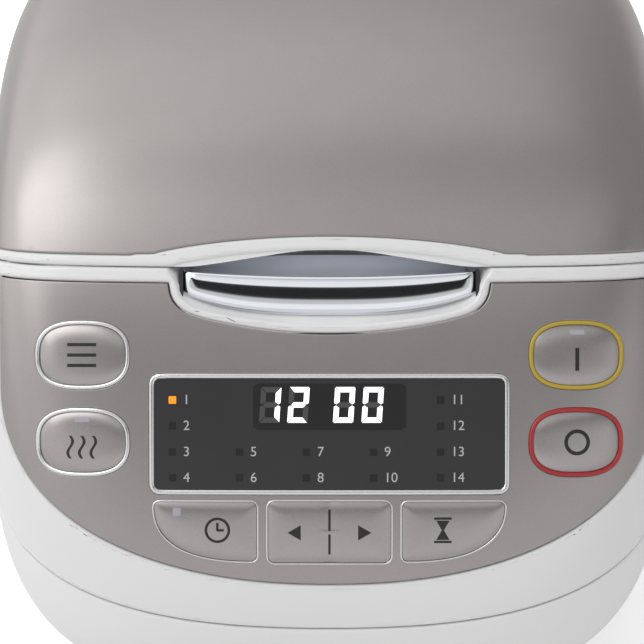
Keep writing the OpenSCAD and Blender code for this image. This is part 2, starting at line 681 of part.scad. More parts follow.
module tact_switches() {
    keys = concat([for (k = ovals) on_board(k)], [for (s = [1, -1]) on_board([s * timer_c.x, timer_c.y])],
        [for (s = [1, -1]) on_board([0, rocker_v]) + [s * rocker_x, 0]]);
    color(dark) board_frame() for (k = keys) translate([k.x, k.y, 0]) {
        translate([-3, -3, 0]) cube([6, 6, 1.6]);
        cylinder(h = switch_h, r = 1.7, $fn = 24);
    }
}
module power_board() {
    color([0.1, 0.35, 0.2]) translate([-32, -72, base_top]) cube([64, 1.6, 50]);
    color(dark) {
        translate([-26, -86, base_top + 12]) cube([22, 14, 18]);
        translate([8, -80, base_top + 12]) cube([16, 8, 20]);
        translate([-32, -70.4, base_top]) cube([64, 6, 2]);
    }
}

// ---------------------------------------------------------------- cooking space
module inner_liner() {
    color(steel) at_pot() rotate_extrude() polygon([[74, 34], [pot_r + 5.6, 34], [pot_r + 5.6, seat_z - deck_t - 1],
        [pot_r + 9, seat_z - deck_t - 1], [pot_r + 9, seat_z - deck_t], [pot_r + 4.4, seat_z - deck_t],
        [pot_r + 4.4, 35.2], [74, 35.2]]);
}
module inner_pot() {
    color([0.3, 0.3, 0.31]) at_pot() rotate_extrude(convexity = 4) difference() {
        union() {
            translate([0, pot_z + 18]) square([pot_r, seat_z + 2.3 - pot_z - 18]);
            translate([0, pot_z]) square([pot_r - 18, 18.1]);
            translate([pot_r - 18, pot_z + 18]) circle(r = 18);
            translate([0, seat_z + 0.3]) square([flange_r, 2]);
        }
        translate([0, pot_z + 18]) square([pot_r - pot_t, 120]);
        translate([0, pot_z + pot_t]) square([pot_r - 18, 20]);
        translate([pot_r - 18, pot_z + 18]) circle(r = 18 - pot_t);
        translate([-200, 0]) square([200, 300]);
    }
}
module heater_plate() {
    color(steel) at_pot() {
        rotate_extrude() polygon([[19, 36], [74, 36], [74, 38], [heater_r, 40], [heater_r, pot_z - 0.3],
            [19, pot_z - 0.3]]);
        rotate_extrude() translate([50, 34]) circle(r = 3.4, $fn = 32);
        for (a = [30, 150, 270]) rotate(a) translate([66, 0, base_top]) cylinder(h = 36.5 - base_top, r = 3, $fn = 32);
    }
}
module heater_terminals() {
    color([0.75, 0.6, 0.3]) at_pot() for (a = [80, 100]) rotate(a) translate([50, 0, 20]) {
        translate([0, 0, 0]) cylinder(h = 10.6, r = 1.8, $fn = 24);
        translate([-3, -0.4, -6]) cube([6, 0.8, 7]);
    }
}
module sensor_cup() {
    color(steel) at_pot() rotate_extrude() polygon([[0, pot_z - 0.5], [15, pot_z - 0.5], [16, pot_z - 1.5],
        [16, 24], [14.8, 24], [14.8, pot_z - 2.2], [0, pot_z - 2.2]]);
}
module sensor_spring() {
    color(steel) at_pot(base_top + 0.8) coil(9, 0.8, 34.2, 6);
}

// ---------------------------------------------------------------- rear
module power_inlet() {
    color(dark) translate([inlet_x, 147, inlet_z]) difference() {
        cube([inlet_w, 13, inlet_h]);
        translate([2.5, 2, 2.5]) cube([inlet_w - 5, 30, inlet_h - 5]);
    }
}
module inlet_pins() {
    color(steel) for (x = [-7, 7]) translate([inlet_x + inlet_w / 2 + x, 149, inlet_z + inlet_h / 2])
        rotate([-90, 0, 0]) cylinder(h = 8, r = 2.2, $fn = 32);
}
module hinge_pin() {
    color(steel) translate([0, hinge_y, hinge_z]) x_rod(pin_r, pin_l);
}
module hinge_spring() {
    color(steel) translate([-9, hinge_y, hinge_z]) rotate([0, 90, 0]) coil(pin_r + 1.1, 0.95, 18, 7);
}
module dew_cup() {
    color([0.85, 0.87, 0.88]) difference() {
        translate([-30.6, 149.1, 100.4]) cube([61.2, 19.4, 33.2]);
        translate([-28.8, 150.9, 102.2]) cube([57.6, 14.3, 40]);
    }
}

// ---------------------------------------------------------------- lid
plug_r = mouth_r - 5.5;
plug_z = seam_z + 5;
lid_plate = 2.4;
seal_z = seat_z + 2.3;
// Lid's space o in from the skin: above the seam, raised over the pot's flange, and the plug in the mouth.
module lid_form(o, g, rear, lip, plug, low) {
    intersection() {
        skin(o, 18, 11);
        union() {
            difference() {
                above(g, rear);
                at_pot(100) cylinder(h = low - 100, r = lip);
            }
            at_pot(low) cylinder(h = 50, r = plug);
        }
    }
}
module cover_zone() {
    difference() {
        above(seam_gap + lid_rim, 4);
        eye(eye_rim + 1.6, -150, -40);
        translate([0, hinge_y, hinge_z]) x_rod(barrel_r, 320);
    }
}
module lid_cover() {
    color(taupe) difference() {
        intersection() { skin(0, 18, 11); cover_zone(); }
        skin(cover_t, 17, 11);
        translate([0, hinge_y, hinge_z]) x_rod(barrel_r + 1.2, 320);
        at_vent() translate([0, 0, -20]) linear_extrude(40) polygon(ellipse_pts(31, 23, 2.6));
    }
}
module lid_frame() {
    color(white) difference() {
        union() {
            difference() {
                lid_form(0, seam_gap, 0.6, plug_r + 3, plug_r, plug_z);
                cover_zone();
                difference() {
                    lid_form(wall, seam_gap + lid_plate, 3, plug_r + 3 + lid_plate, plug_r - lid_plate,
                        plug_z + lid_plate);
                    eye(2.2, -150, -61.3);
                }
                translate([0, hinge_y, hinge_z]) x_rod(barrel_r + 1.2, 320);
                translate([-150, hinge_y - 4, hinge_z]) cube([300, 10, 40]);
            }
            intersection() {
                skin(0, 18, 11);
                for (s = [-1, 1]) translate([s * (barrel_x + 12) / 2, hinge_y, hinge_z]) {
                    x_rod(barrel_r, barrel_x - 12);
                    translate([-(barrel_x - 12) / 2, -12, -14]) cube([barrel_x - 12, 11.4, 14]);
                }
            }
        }
        eye(0, -150, -63.5);
        translate([0, hinge_y, hinge_z]) x_rod(pin_r + pin_fit, 2 * barrel_x + 2);
        translate([-6, -61.2, 150]) cube([12, 1.8, 25]);
        translate([0, vent_y, 140]) cylinder(h = 20, r = 8);
    }
}
module lid_liner() {
    color(white) at_pot(plug_z - 1) difference() {
        cylinder(h = 1, r = plug_r - 1);
        translate([0, vent_y - pot_y, -1]) cylinder(h = 3, r = 8);
    }
}
module inner_lid() {
    color(steel) at_pot() difference() {
        rotate_extrude() polygon([[0, plug_z - 2.6], [60, plug_z - 2.6], [66, plug_z - 2], [plug_r - 6.5, plug_z - 2],
            [plug_r - 6.5, plug_z - 1], [0, plug_z - 1]]);
        for (a = [0 : 60 : 300]) translate([0, vent_y - pot_y, 0]) rotate(a) translate([4.5, 0, 140])
            cylinder(h = 20, r = 1.2, $fn = 24);
    }
}
module lid_gasket() {
    color(dark) at_pot() rotate_extrude() polygon([[plug_r - 6.5, plug_z - 1], [plug_r - 6.5, plug_z - 1.9],
        [plug_r - 4.6, plug_z - 1.9], [plug_r - 5.2, seal_z + 0.3], [plug_r - 3.4, seal_z + 0.3],
        [plug_r - 1.5, plug_z - 1.6], [plug_r - 1.5, plug_z - 1]]);
}
module lid_tab() {
    color(dark) at_pot() for (a = [-90, 90]) rotate(a) translate([70, -9, plug_z - 3.2]) cube([12, 18, 1.2]);
}
module lid_sensor() { color(steel) at_pot(plug_z - 5.6) cylinder(h = 3, r = 7); }
module lid_striker() {
    color(steel) {
        translate([-6, -61.2, 143.5]) cube([12, 1.8, 31.5]);
        translate([-6, -64.6, 143.5]) cube([12, 3.5, 2]);
    }
}

// ---------------------------------------------------------------- steam vent
module at_vent() {
    translate([0, vent_y, 0] + [0, 0, vent_top]) rotate([-vent_lean, 0, 0]) children();
}
vent_top = hit([0, vent_y, 100], [0, 0, 1], 0, 0, 160).z;
module oval_cup(a, b, z0, z1, t, floor_t) {
    difference() {
        translate([0, 0, z0]) linear_extrude(z1 - z0) polygon(ellipse_pts(a, b, 2.6));
        translate([0, 0, z0 + floor_t]) linear_extrude(z1 - z0) polygon(ellipse_pts(a - t, b - t, 2.6));
    }
}
module vent_seat() {
    color(dark) difference() {
        union() {
            at_vent() oval_cup(31, 23, -16, 0.3, 1.6, 1.6);
            translate([0, vent_y, plug_z + 0.4]) cylinder(h = vent_top - 15 - plug_z, r = 8);
        }
        translate([0, vent_y, plug_z - 1]) cylinder(h = vent_top - 10 - plug_z, r = 6.4);
    }
}
module vent_cap() {
    color(taupe) at_vent() difference() {
        translate([0, 0, -14]) linear_extrude(16.2) polygon(ellipse_pts(29, 21, 2.6));
        translate([0, 0, -15]) linear_extrude(15.2) polygon(ellipse_pts(27.2, 19.2, 2.6));
        for (y = [-7, 0, 7]) translate([-15, y - 1.2, -5]) cube([30, 2.4, 20]);
    }
}

// ---------------------------------------------------------------- latch
// Outline of the button seen from the front: straight above, bowed below.
function bow_v(u) = 45.3 + 6.1 * pow(u / 55, 2);
function button_pts() = concat(
    [for (i = [-12 : 12]) let (u = 54.4 * i / 12) xz(on_skin(u, bow_v(u)))],
    [for (i = [6 : -1 : -6]) let (u = 54.4 * i / 6) [u, button_z - 3.2 * pow(u / 55, 2)]]);
button_z = 178;
button_back = recess_y - button_travel - button_room;
module open_button() {
    color(steel) difference() {
        intersection() {
            translate([0, button_back, 0]) rotate([90, 0, 0]) linear_extrude(60) polygon(button_pts());
            rotate([90, 0, 90]) linear_extrude(120, center = true) polygon(concat(
                [[button_back, 150], [-91.6, 150]],
                [for (a = [190 : -10 : 80]) [-80.6 + 12 * cos(a), 167.2 + 12 * sin(a) * 0.92]],
                [[button_back, button_z]]));
            linear_extrude(200) polygon([[-60, -100], [60, -100], [60, button_back - 9.6],
                [50.4, button_back], [-50.4, button_back], [-60, button_back - 9.6]]);
        }
        translate([-46, -79, 160]) cube([92, 40, 15.6]);
    }
}
hook_pts = [[-70, 172.5], [-68.4, 172.5], [-67, 166], [-62.5, 161], [-62, 149], [-62, 146.5], [-66.5, 146.5],
    [-67.5, 149], [-68.5, 157], [-70, 166]];
module latch_hook() {
    color(steel) difference() {
        union() {
            for (x = [-9.2, 7.2]) translate([x, 0, 0]) rotate([90, 0, 90]) linear_extrude(2) polygon(hook_pts);
            translate([-8, -66.5, 146.5]) cube([16, 4.5, 2.5]);
            translate([-8, -70, 168.5]) cube([16, 1.6, 4]);
        }
        translate([0, hook_y, hook_z]) x_rod(1.5 + pin_fit, 40);
    }
}
module hook_pin() { color(steel) translate([0, hook_y, hook_z]) x_rod(1.5, 26); }
module latch_spring() {
    color(steel) translate([-6, hook_y, hook_z]) rotate([0, 90, 0]) coil(2.45, 0.8, 12, 6);
}

lower_case();
upper_frame();
control_panel();
display_bezel();
display_window();
digit_plate();
digits_lit();
digits_unlit();
menu_markers();
menu_lamp();
silver_rings();
start_ring();
off_ring();
control_board();
tact_switches();
inner_liner();
heater_plate();
heater_terminals();
power_board();
base_plate();
feet();
base_screws();
power_inlet();
inlet_pins();
hinge_pin();
hinge_spring();
hook_pin();
inner_pot();
sensor_cup();
sensor_spring();
lid_cover();
lid_frame();
lid_liner();
inner_lid();
lid_gasket();
lid_tab();
lid_striker();
lid_sensor();
vent_seat();
vent_cap();
dew_cup();
open_button();
latch_hook();
latch_spring();
menu_key();
warm_key();
warm_lamp();
start_key();
start_lamp();
off_key();
timer_key();
timer_lamp();
cook_key();
rocker_key();
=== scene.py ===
"""Looks of a countertop rice cooker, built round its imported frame.

Sizes in the classes are millimetres. A mesh is worked on in millimetres and scaled to the frame's metres when
its piece is finished.
"""

import json
import logging
import math
from dataclasses import dataclass, field
from enum import Enum
from typing import Callable, Iterable, Optional, Sequence, Union

import bmesh
import bpy
import numpy as np
from mathutils import Matrix, Vector


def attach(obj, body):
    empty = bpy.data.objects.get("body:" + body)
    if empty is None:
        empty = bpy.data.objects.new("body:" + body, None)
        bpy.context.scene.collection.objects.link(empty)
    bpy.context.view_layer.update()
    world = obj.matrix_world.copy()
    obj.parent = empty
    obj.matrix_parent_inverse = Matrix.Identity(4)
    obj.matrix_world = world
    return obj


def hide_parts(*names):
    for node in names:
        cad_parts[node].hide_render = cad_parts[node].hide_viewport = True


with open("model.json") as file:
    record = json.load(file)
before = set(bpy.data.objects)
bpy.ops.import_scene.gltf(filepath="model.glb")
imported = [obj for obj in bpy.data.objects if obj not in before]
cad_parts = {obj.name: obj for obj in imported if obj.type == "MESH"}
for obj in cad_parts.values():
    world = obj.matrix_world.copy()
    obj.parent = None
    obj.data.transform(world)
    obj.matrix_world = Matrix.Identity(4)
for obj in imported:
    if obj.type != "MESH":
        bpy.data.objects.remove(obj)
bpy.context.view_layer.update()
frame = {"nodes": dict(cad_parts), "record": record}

MM = 0.001
EDGE_GAP = 0.02
TINY = 1e-6
LOG = logging.getLogger("rice_cooker")

Points = np.ndarray
Field = Callable[[Points], np.ndarray]


# ---------------------------------------------------------------- the blended form
@dataclass(frozen=True)
class Form:
    """Outer form of the cooker: a rounded wall, a shallow crown and a sloped panel, blended into one skin."""

    half_w: float = 135.0
    front_reach: float = 155.8
    rear_reach: float = 189.6
    body_h: float = 215.0
    plan_y: float = -20.0
    plan_n: float = 3.6
    widest_z: float = 98.0
    taper: float = 0.38
    taper_n: float = 3.4
    crown_rx: float = 950.0
    crown_ry: float = 420.0
    crown_y: float = 10.0
    blend_n: float = 9.0
    panel_tilt: float = 43.0
    panel_far: float = 129.0
    panel_r: float = 1080.0
    panel_v0: float = 15.0
    core_z: float = 60.0

    @property
    def core(self) -> Points:
        """Point inside the body that the rays of the skin start from."""
        return np.array([0.0, self.plan_y, self.core_z])

    @property
    def panel_n(self) -> Points:
        """Outward normal of the panel's plane."""
        tilt = math.radians(self.panel_tilt)
        return np.array([0.0, -math.cos(tilt), math.sin(tilt)])

    @property
    def panel_up(self) -> Points:
        """Direction up the panel."""
        tilt = math.radians(self.panel_tilt)
        return np.array([0.0, math.sin(tilt), math.cos(tilt)])

    def value(self, p: Points, inset: float = 0.0) -> np.ndarray:
        """Value of the blend, below 1 inside.

        Args:
            p: Points, one per row.
            inset: How far the surface lies inside the outer skin.

        Returns:
            One value per point.
        """
        x, y, z = p[:, 0], p[:, 1], p[:, 2]
        reach = np.where(y < self.plan_y, self.front_reach, self.rear_reach) - inset
        drop = np.clip((self.widest_z - z) / self.widest_z, 0, 1.1)
        bulge = 1 - self.taper * drop**self.taper_n
        across = (np.abs(x) / (self.half_w - inset)) ** self.plan_n
        along = (np.abs(y - self.plan_y) / reach) ** self.plan_n
        side = (across + along) ** (1 / self.plan_n) / bulge
        sag = x * x / (2 * self.crown_rx) + (y - self.crown_y) ** 2 / (2 * self.crown_ry)
        crown = np.maximum(0, (z - self.core_z) / (self.body_h - inset - sag - self.core_z))
        lean = (p - self.core) @ self.panel_n / (self.panel_far - inset)
        slope = np.maximum(0, lean + x * x / (2 * self.panel_r * self.panel_far))
        return side**self.blend_n + crown**self.blend_n + slope**self.blend_n

    def hit(self, start: Points, direction: Points, inset: float = 0.0, reach: float = 260.0) -> Points:
        """Points where rays from inside leave the form.

        Args:
            start: Starts of the rays.
            direction: Unit directions of the rays.
            inset: How far the surface lies inside the outer skin.
            reach: Length that is searched.

        Returns:
            One point per ray.
        """
        low = np.zeros(len(start))
        high = np.full(len(start), reach)
        for _ in range(30):
            middle = (low + high) / 2
            inside = self.value(start + middle[:, None] * direction, inset) < 1
            low = np.where(inside, middle, low)
            high = np.where(inside, high, middle)
        return start + low[:, None] * direction

    def _level(self, p: Points) -> np.ndarray:
        """Root of the blend, which grows evenly with distance and is 1 on the skin."""
        return self.value(p) ** (1 / self.blend_n)

    @staticmethod
    def _slopes(measure: Field, p: Points, step: float = 0.05) -> Points:
        """Slopes of a measure along the three axes at points."""
        rises = [measure(p + step * axis) - measure(p - step * axis) for axis in np.eye(3)]
        return np.stack(rises, axis=1) / (2 * step)

    def normal(self, p: Points) -> Points:
        """Outward unit normals of the form at points on it."""
        gradient = self._slopes(self.value, p)
        return gradient / np.linalg.norm(gradient, axis=1)[:, None]

    def settle(self, p: Points) -> Points:
        """Points moved onto the skin along its normal."""
        for _ in range(3):
            gradient = self._slopes(self._level, p)
            p = p - ((self._level(p) - 1) / (gradient**2).sum(axis=1))[:, None] * gradient
        return p

    def depth(self, p: Points) -> np.ndarray:
        """Rough depth of points under the skin."""
        return (1 - self._level(p)) * self.panel_far

    def on_skin(self, uv: Points) -> Points:
        """Skin points at u across and v up the panel, v from the display's middle."""
        start = np.zeros((len(uv), 3))
        start[:, 0] = uv[:, 0]
        start += np.outer(uv[:, 1] + self.panel_v0, self.panel_up) + self.panel_n * 60
        return self.hit(start, np.tile(self.panel_n, (len(uv), 1)), reach=180.0)

    def lift(self, uvh: Points) -> Points:
        """Points h over the skin at u, v."""
        base = self.on_skin(uvh[:, :2])
        return base + self.normal(base) * uvh[:, 2:3]

    def uv(self, p: Points) -> Points:
        """Panel coordinates u, v of points."""
        return np.stack([p[:, 0], p @ self.panel_up - self.panel_v0], axis=1)


FORM = Form()


# ---------------------------------------------------------------- lines that divide the skin
@dataclass(frozen=True)
class Lines:
    """Dividing lines of the skin as fields of space: negative on one side, zero on the line."""

    part_z: float = 74.0
    part_rise: float = 7.0
    seam_z: float = 148.0
    seam_front: float = 181.0
    seam_y: float = -81.2
    seam_slope: float = 0.66
    seam_round: float = 40.0
    hinge_y: float = 150.0
    hinge_z: float = 177.0
    bib_w: float = 126.0
    bib_h: float = 75.4
    bib_v: float = 18.4
    bib_n: float = 2.2
    eye_w: float = 56.6
    eye_v: float = 56.0
    eye_low: float = 14.6
    eye_seam: float = 62.7
    eye_rise: float = 6.6
    eye_flare: float = 4.4

    def seam_at(self, y: np.ndarray) -> np.ndarray:
        """Height of the seam between body and lid over y."""
        flat = self.seam_y + (self.seam_front - self.seam_z) / self.seam_slope
        last, first = flat + self.seam_round / 2, flat - self.seam_round / 2
        bend = self.seam_z + self.seam_slope * (last - y) ** 2 / (2 * self.seam_round)
        line = self.seam_front - self.seam_slope * (y - self.seam_y)
        return np.where(y >= last, self.seam_z, np.where(y > first, bend, line))

    def seam(self, p: Points, rise: float = 0.0) -> np.ndarray:
        """Height over the seam raised by rise."""
        return p[:, 2] - self.seam_at(p[:, 1]) - rise

    def parting(self, p: Points, rise: float = 0.0) -> np.ndarray:
        """Height over the line between the lower case and the shoulder."""
        return p[:, 2] - self.part_z - self.part_rise * (p[:, 0] / 100) ** 2 - rise

    def bib(self, p: Points, inset: float = 0.0) -> np.ndarray:
        """Distance outside the panel's bib outline, roughly."""
        u, v = FORM.uv(p).T
        across = (np.abs(u) / (self.bib_w - inset)) ** self.bib_n
        down = (np.maximum(0, self.bib_v - v) / (self.bib_h - inset)) ** self.bib_n
        return ((across + down) ** (1 / self.bib_n) - 1) * self.bib_h

    def eye_bowl(self, p: Points, grow: float = 0.0) -> np.ndarray:
        """Field of the eye's lower line and corners: negative inside."""
        u, v = FORM.uv(p).T
        half, low = self.eye_w + grow, self.eye_low + grow
        share = np.abs(u) / half
        depth = np.maximum(0, self.eye_v - v) / low / (1 - 0.5 * np.minimum(share, 1.15) ** 2)
        curve = np.sqrt(depth**2 + np.minimum(share, 1.3) ** 18) - 1
        rise = np.maximum(0, v - self.eye_v) / (self.eye_seam + grow - self.eye_v)
        return np.where(v < self.eye_v, curve * low, np.abs(u) - half - self.eye_flare * rise)

    def eye_arch(self, p: Points, grow: float = 0.0) -> np.ndarray:
        """Field of the arch over the eye: negative below it."""
        u, v = FORM.uv(p).T
        share = np.minimum(1, np.abs(u) / (self.eye_w + self.eye_flare + grow))
        return v - self.eye_seam - grow - self.eye_rise * (1 - share**2) ** 0.85

    def hinge(self, p: Points, radius: float) -> np.ndarray:
        """Distance outside a cylinder round the hinge axis."""
        return np.hypot(p[:, 1] - self.hinge_y, p[:, 2] - self.hinge_z) - radius


LINES = Lines()


# ---------------------------------------------------------------- mesh work
def coordinates(verts: Sequence[bmesh.types.BMVert]) -> Points:
    """Places of vertices, one per row."""
    return np.array([v.co for v in verts], float).reshape(-1, 3)


def move_to(verts: Sequence[bmesh.types.BMVert], places: Points) -> None:
    """Moves vertices to new places."""
    for vert, place in zip(verts, places):
        vert.co = place


def extend(
    bm: bmesh.types.BMesh, edges: Sequence[bmesh.types.BMEdge]
) -> tuple[list[bmesh.types.BMVert], list[bmesh.types.BMEdge]]:
    """Extrudes edges in place and returns the new vertices and the new edges."""
    made = bmesh.ops.extrude_edge_only(bm, edges=edges)["geom"]
    verts = [g for g in made if isinstance(g, bmesh.types.BMVert)]
    return verts, [g for g in made if isinstance(g, bmesh.types.BMEdge)]


def double(bm: bmesh.types.BMesh) -> list[bmesh.types.BMVert]:
    """Extrudes all faces of a sheet in place and returns the vertices of the second side."""
    made = bmesh.ops.extrude_face_region(bm, geom=bm.faces[:])["geom"]
    return [g for g in made if isinstance(g, bmesh.types.BMVert)]


def round_edges(
    bm: bmesh.types.BMesh, edges: Sequence[bmesh.types.BMEdge], radius: float, segments: int, clamp: bool
) -> None:
    """Rounds edges.

    Args:
        bm: Mesh of the edges.
        edges: Edges to round.
        radius: Radius of the rounding.
        segments: Faces across the rounding.
        clamp: Whether the rounding gives way where faces are small.
    """
    bmesh.ops.bevel(
        bm,
        geom=edges,
        offset=radius,
        offset_type="OFFSET",
        segments=segments,
        profile=0.5,
        affect="EDGES",
        material=-1,
        clamp_overlap=clamp,
    )


class Skin:
    """Open sheet on the form that is cut along lines, given a wall and rounded at its edges."""

    SNAP = 0.4

    def __init__(self, bm: bmesh.types.BMesh) -> None:
        """Takes a sheet whose vertices lie on the form."""
        self.bm = bm

    @classmethod
    def dome(cls, cells: int = 116, lowest: float = 56.0) -> "Skin":
        """Upper skin from a cube whose rays are spread evenly over the form.

        Args:
            cells: Cells along an edge of the cube, an even number.
            lowest: Height under which nothing is kept.

        Returns:
            The skin above that height.
        """
        bm = bmesh.new()
        bmesh.ops.create_cube(bm, size=2.0)
        bmesh.ops.subdivide_edges(bm, edges=bm.edges[:], cuts=cells - 1, use_grid_fill=True)
        below = [f for f in bm.faces if f.calc_center_median().z < -0.02]
        bmesh.ops.delete(bm, geom=below, context="FACES")
        verts = bm.verts[:]
        rays = np.tan(coordinates(verts) * math.pi / 4) * np.array([135.0, 165.0, 120.0])
        rays /= np.linalg.norm(rays, axis=1)[:, None]
        move_to(verts, FORM.hit(np.tile(FORM.core, (len(verts), 1)), rays))
        skin = cls(bm)
        skin.drop(lambda p: lowest - p[:, 2])
        return skin

    @classmethod
    def front(cls, half_u: float, low_v: float, high_v: float, cell: float) -> "Skin":
        """Part of the skin over a rectangle of the panel.

        Args:
            half_u: Half of the rectangle's width.
            low_v: Its lower line.
            high_v: Its upper line.
            cell: Size of a mesh cell.

        Returns:
            The skin over the rectangle.
        """
        bm = bmesh.new()
        across, up = 2 * round(half_u / cell), round((high_v - low_v) / cell)
        bmesh.ops.create_grid(bm, x_segments=across, y_segments=up, size=1.0)
        verts = bm.verts[:]
        flat = coordinates(verts)[:, :2]
        flat = flat * [half_u, (high_v - low_v) / 2] + [0, (high_v + low_v) / 2]
        move_to(verts, FORM.on_skin(flat))
        return cls(bm)

    def copy(self) -> "Skin":
        """A second skin of the same mesh."""
        return Skin(self.bm.copy())

    def score(self, line: Field, near: Optional[Field] = None) -> "Skin":
        """Cuts the faces along the line where a field is zero.

        Args:
            line: Field of the line.
            near: Field that is negative where the cut is wanted.

        Returns:
            This skin.
        """
        bm = self.bm
        verts = bm.verts[:]
        bm.verts.index_update()
        places = coordinates(verts)
        values = line(places)
        wanted = np.ones(len(verts), bool) if near is None else near(places) < 0
        ends = np.array([[v.index for v in e.verts] for e in bm.edges])
        crossed = (values[ends[:, 0]] * values[ends[:, 1]] < 0) & wanted[ends].all(axis=1)
        share = self._root(line, places[ends[:, 0]], places[ends[:, 1]], values[ends[:, 0]], crossed)
        snapped = self._snap(verts, places, ends, crossed, share)
        values[list(snapped)] = 0.0
        moved = coordinates(verts)
        crossed &= (values[ends[:, 0]] != 0) & (values[ends[:, 1]] != 0)
        share = self._root(line, moved[ends[:, 0]], moved[ends[:, 1]], values[ends[:, 0]], crossed)
        fresh = []
        for edge, first, part in [
            (e, verts[ends[i, 0]], share[i]) for i, e in enumerate(bm.edges[:]) if crossed[i]
        ]:
            fresh.append(bmesh.utils.edge_split(edge, first, float(part))[1])
        on_line = fresh + [verts[i] for i in snapped]
        if on_line:
            bmesh.ops.connect_verts(bm, verts=on_line)
            move_to(on_line, FORM.settle(coordinates(on_line)))
        return self

    @staticmethod
    def _root(line: Field, a: Points, b: Points, at_a: np.ndarray, crossed: np.ndarray) -> np.ndarray:
        """Shares of the way from a to b where the field is zero, for the crossed edges."""
        low, high = np.zeros(len(a)), np.ones(len(a))
        index = np.flatnonzero(crossed)
        start, way, side = a[index], b[index] - a[index], np.sign(at_a[index])
        first, last = low[index], high[index]
        for _ in range(24):
            middle = (first + last) / 2
            same = np.sign(line(start + middle[:, None] * way)) == side
            first = np.where(same, middle, first)
            last = np.where(same, last, middle)
        low[index] = first
        return low

    def _snap(
        self,
        verts: Sequence[bmesh.types.BMVert],
        places: Points,
        ends: np.ndarray,
        crossed: np.ndarray,
        share: np.ndarray,
    ) -> set[int]:
        """Moves vertices that lie close to the line onto it, and returns their numbers."""
        best: dict[int, tuple[float, Points]] = {}
        for i in np.flatnonzero(crossed):
            a, b = ends[i]
            cut = places[a] + share[i] * (places[b] - places[a])
            for vert, part in ((a, share[i]), (b, 1 - share[i])):
                gap = float(np.linalg.norm(cut - places[vert]))
                if part < self.SNAP and gap < best.get(vert, (math.inf, cut))[0]:
                    best[vert] = (gap, cut)
        for vert, (_, cut) in best.items():
            verts[vert].co = cut
        return set(best)

    def drop(self, outside: Field) -> "Skin":
        """Removes the faces whose middle has a positive value of the field."""
        faces = self.bm.faces[:]
        middles = np.array([f.calc_center_median() for f in faces]).reshape(-1, 3)
        gone = [f for f, value in zip(faces, outside(middles)) if value > 0]
        bmesh.ops.delete(self.bm, geom=gone, context="FACES")
        return self

    def trim(self, line: Field, near: Optional[Field] = None) -> "Skin":
        """Cuts along a line and removes its positive side."""
        self.score(line, near)
        return self.drop(line if near is None else lambda p: np.where(near(p) < 0, line(p), -1.0))

    def wall(self, depth: float, edge: float, support: float = 0.8) -> bmesh.types.BMesh:
        """Gives the sheet a wall inwards and rounds its outer edges.

        Args:
            depth: Thickness of the wall.
            edge: Radius of the rounded edges.
            support: Width of the band of faces that keeps the rounding narrow.

        Returns:
            The closed mesh.
        """
        bm = self.bm
        bmesh.ops.inset_region(
            bm, faces=bm.faces[:], thickness=support, use_boundary=True, use_even_offset=True
        )
        rim = [e for e in bm.edges if e.is_boundary]
        inner = double(bm)
        places = coordinates(inner)
        move_to(inner, places - FORM.normal(places) * depth)
        bmesh.ops.recalc_face_normals(bm, faces=bm.faces[:])
        round_edges(bm, rim, edge, segments=3, clamp=False)
        return bm


# ---------------------------------------------------------------- outlines on the panel
@dataclass(frozen=True)
class Outline:
    """Closed outline on the panel, star-shaped about its middle, as a signed distance in u, v."""

    u: float
    v: float

    def distance(self, uv: Points) -> np.ndarray:
        """Signed distance of panel points, negative inside."""
        raise NotImplementedError

    def field(self, inset: float = 0.0) -> Field:
        """The outline moved inwards as a field of space."""
        return lambda p: self.distance(FORM.uv(p)) + inset

    def near(self, reach: float = 6.0) -> Field:
        """Field that is negative close to the outline on the panel's side of the body."""
        return lambda p: np.where(FORM.normal(p) @ FORM.panel_n > 0, self.distance(FORM.uv(p)) - reach, 1.0)

    def loop(self, inset: float, count: int) -> Points:
        """Points round the outline moved inwards by inset."""
        turn = np.arange(count) * 2 * math.pi / count
        way = np.stack([np.cos(turn), np.sin(turn)], axis=1)
        middle = np.array([self.u, self.v])
        low, high = np.zeros(count), np.full(count, 120.0)
        for _ in range(40):
            reach = (low + high) / 2
            inside = self.distance(middle + reach[:, None] * way) < -inset
            low = np.where(inside, reach, low)
            high = np.where(inside, high, reach)
        return middle + low[:, None] * way


@dataclass(frozen=True)
class Oval(Outline):
    """Superellipse."""

    half_w: float = 18.1
    half_h: float = 13.05
    power: float = 2.6

    def distance(self, uv: Points) -> np.ndarray:
        """Signed distance to first order."""
        x, y = np.abs(uv[:, 0] - self.u), np.abs(uv[:, 1] - self.v)
        n, a, b = self.power, self.half_w, self.half_h
        size = ((x / a) ** n + (y / b) ** n) ** (1 / n)
        size = np.maximum(size, TINY)
        gx = (x / a) ** (n - 1) / a * size ** (1 - n)
        gy = (y / b) ** (n - 1) / b * size ** (1 - n)
        return (size - 1) / np.maximum(np.hypot(gx, gy), TINY)


@dataclass(frozen=True)
class Box(Outline):
    """Rectangle with round corners."""

    w: float = 10.0
    h: float = 10.0
    r: float = 1.0

    def distance(self, uv: Points) -> np.ndarray:
        """Exact signed distance."""
        x = np.abs(uv[:, 0] - self.u) - self.w / 2 + self.r
        y = np.abs(uv[:, 1] - self.v) - self.h / 2 + self.r
        return np.hypot(np.maximum(x, 0), np.maximum(y, 0)) + np.minimum(np.maximum(x, y), 0) - self.r


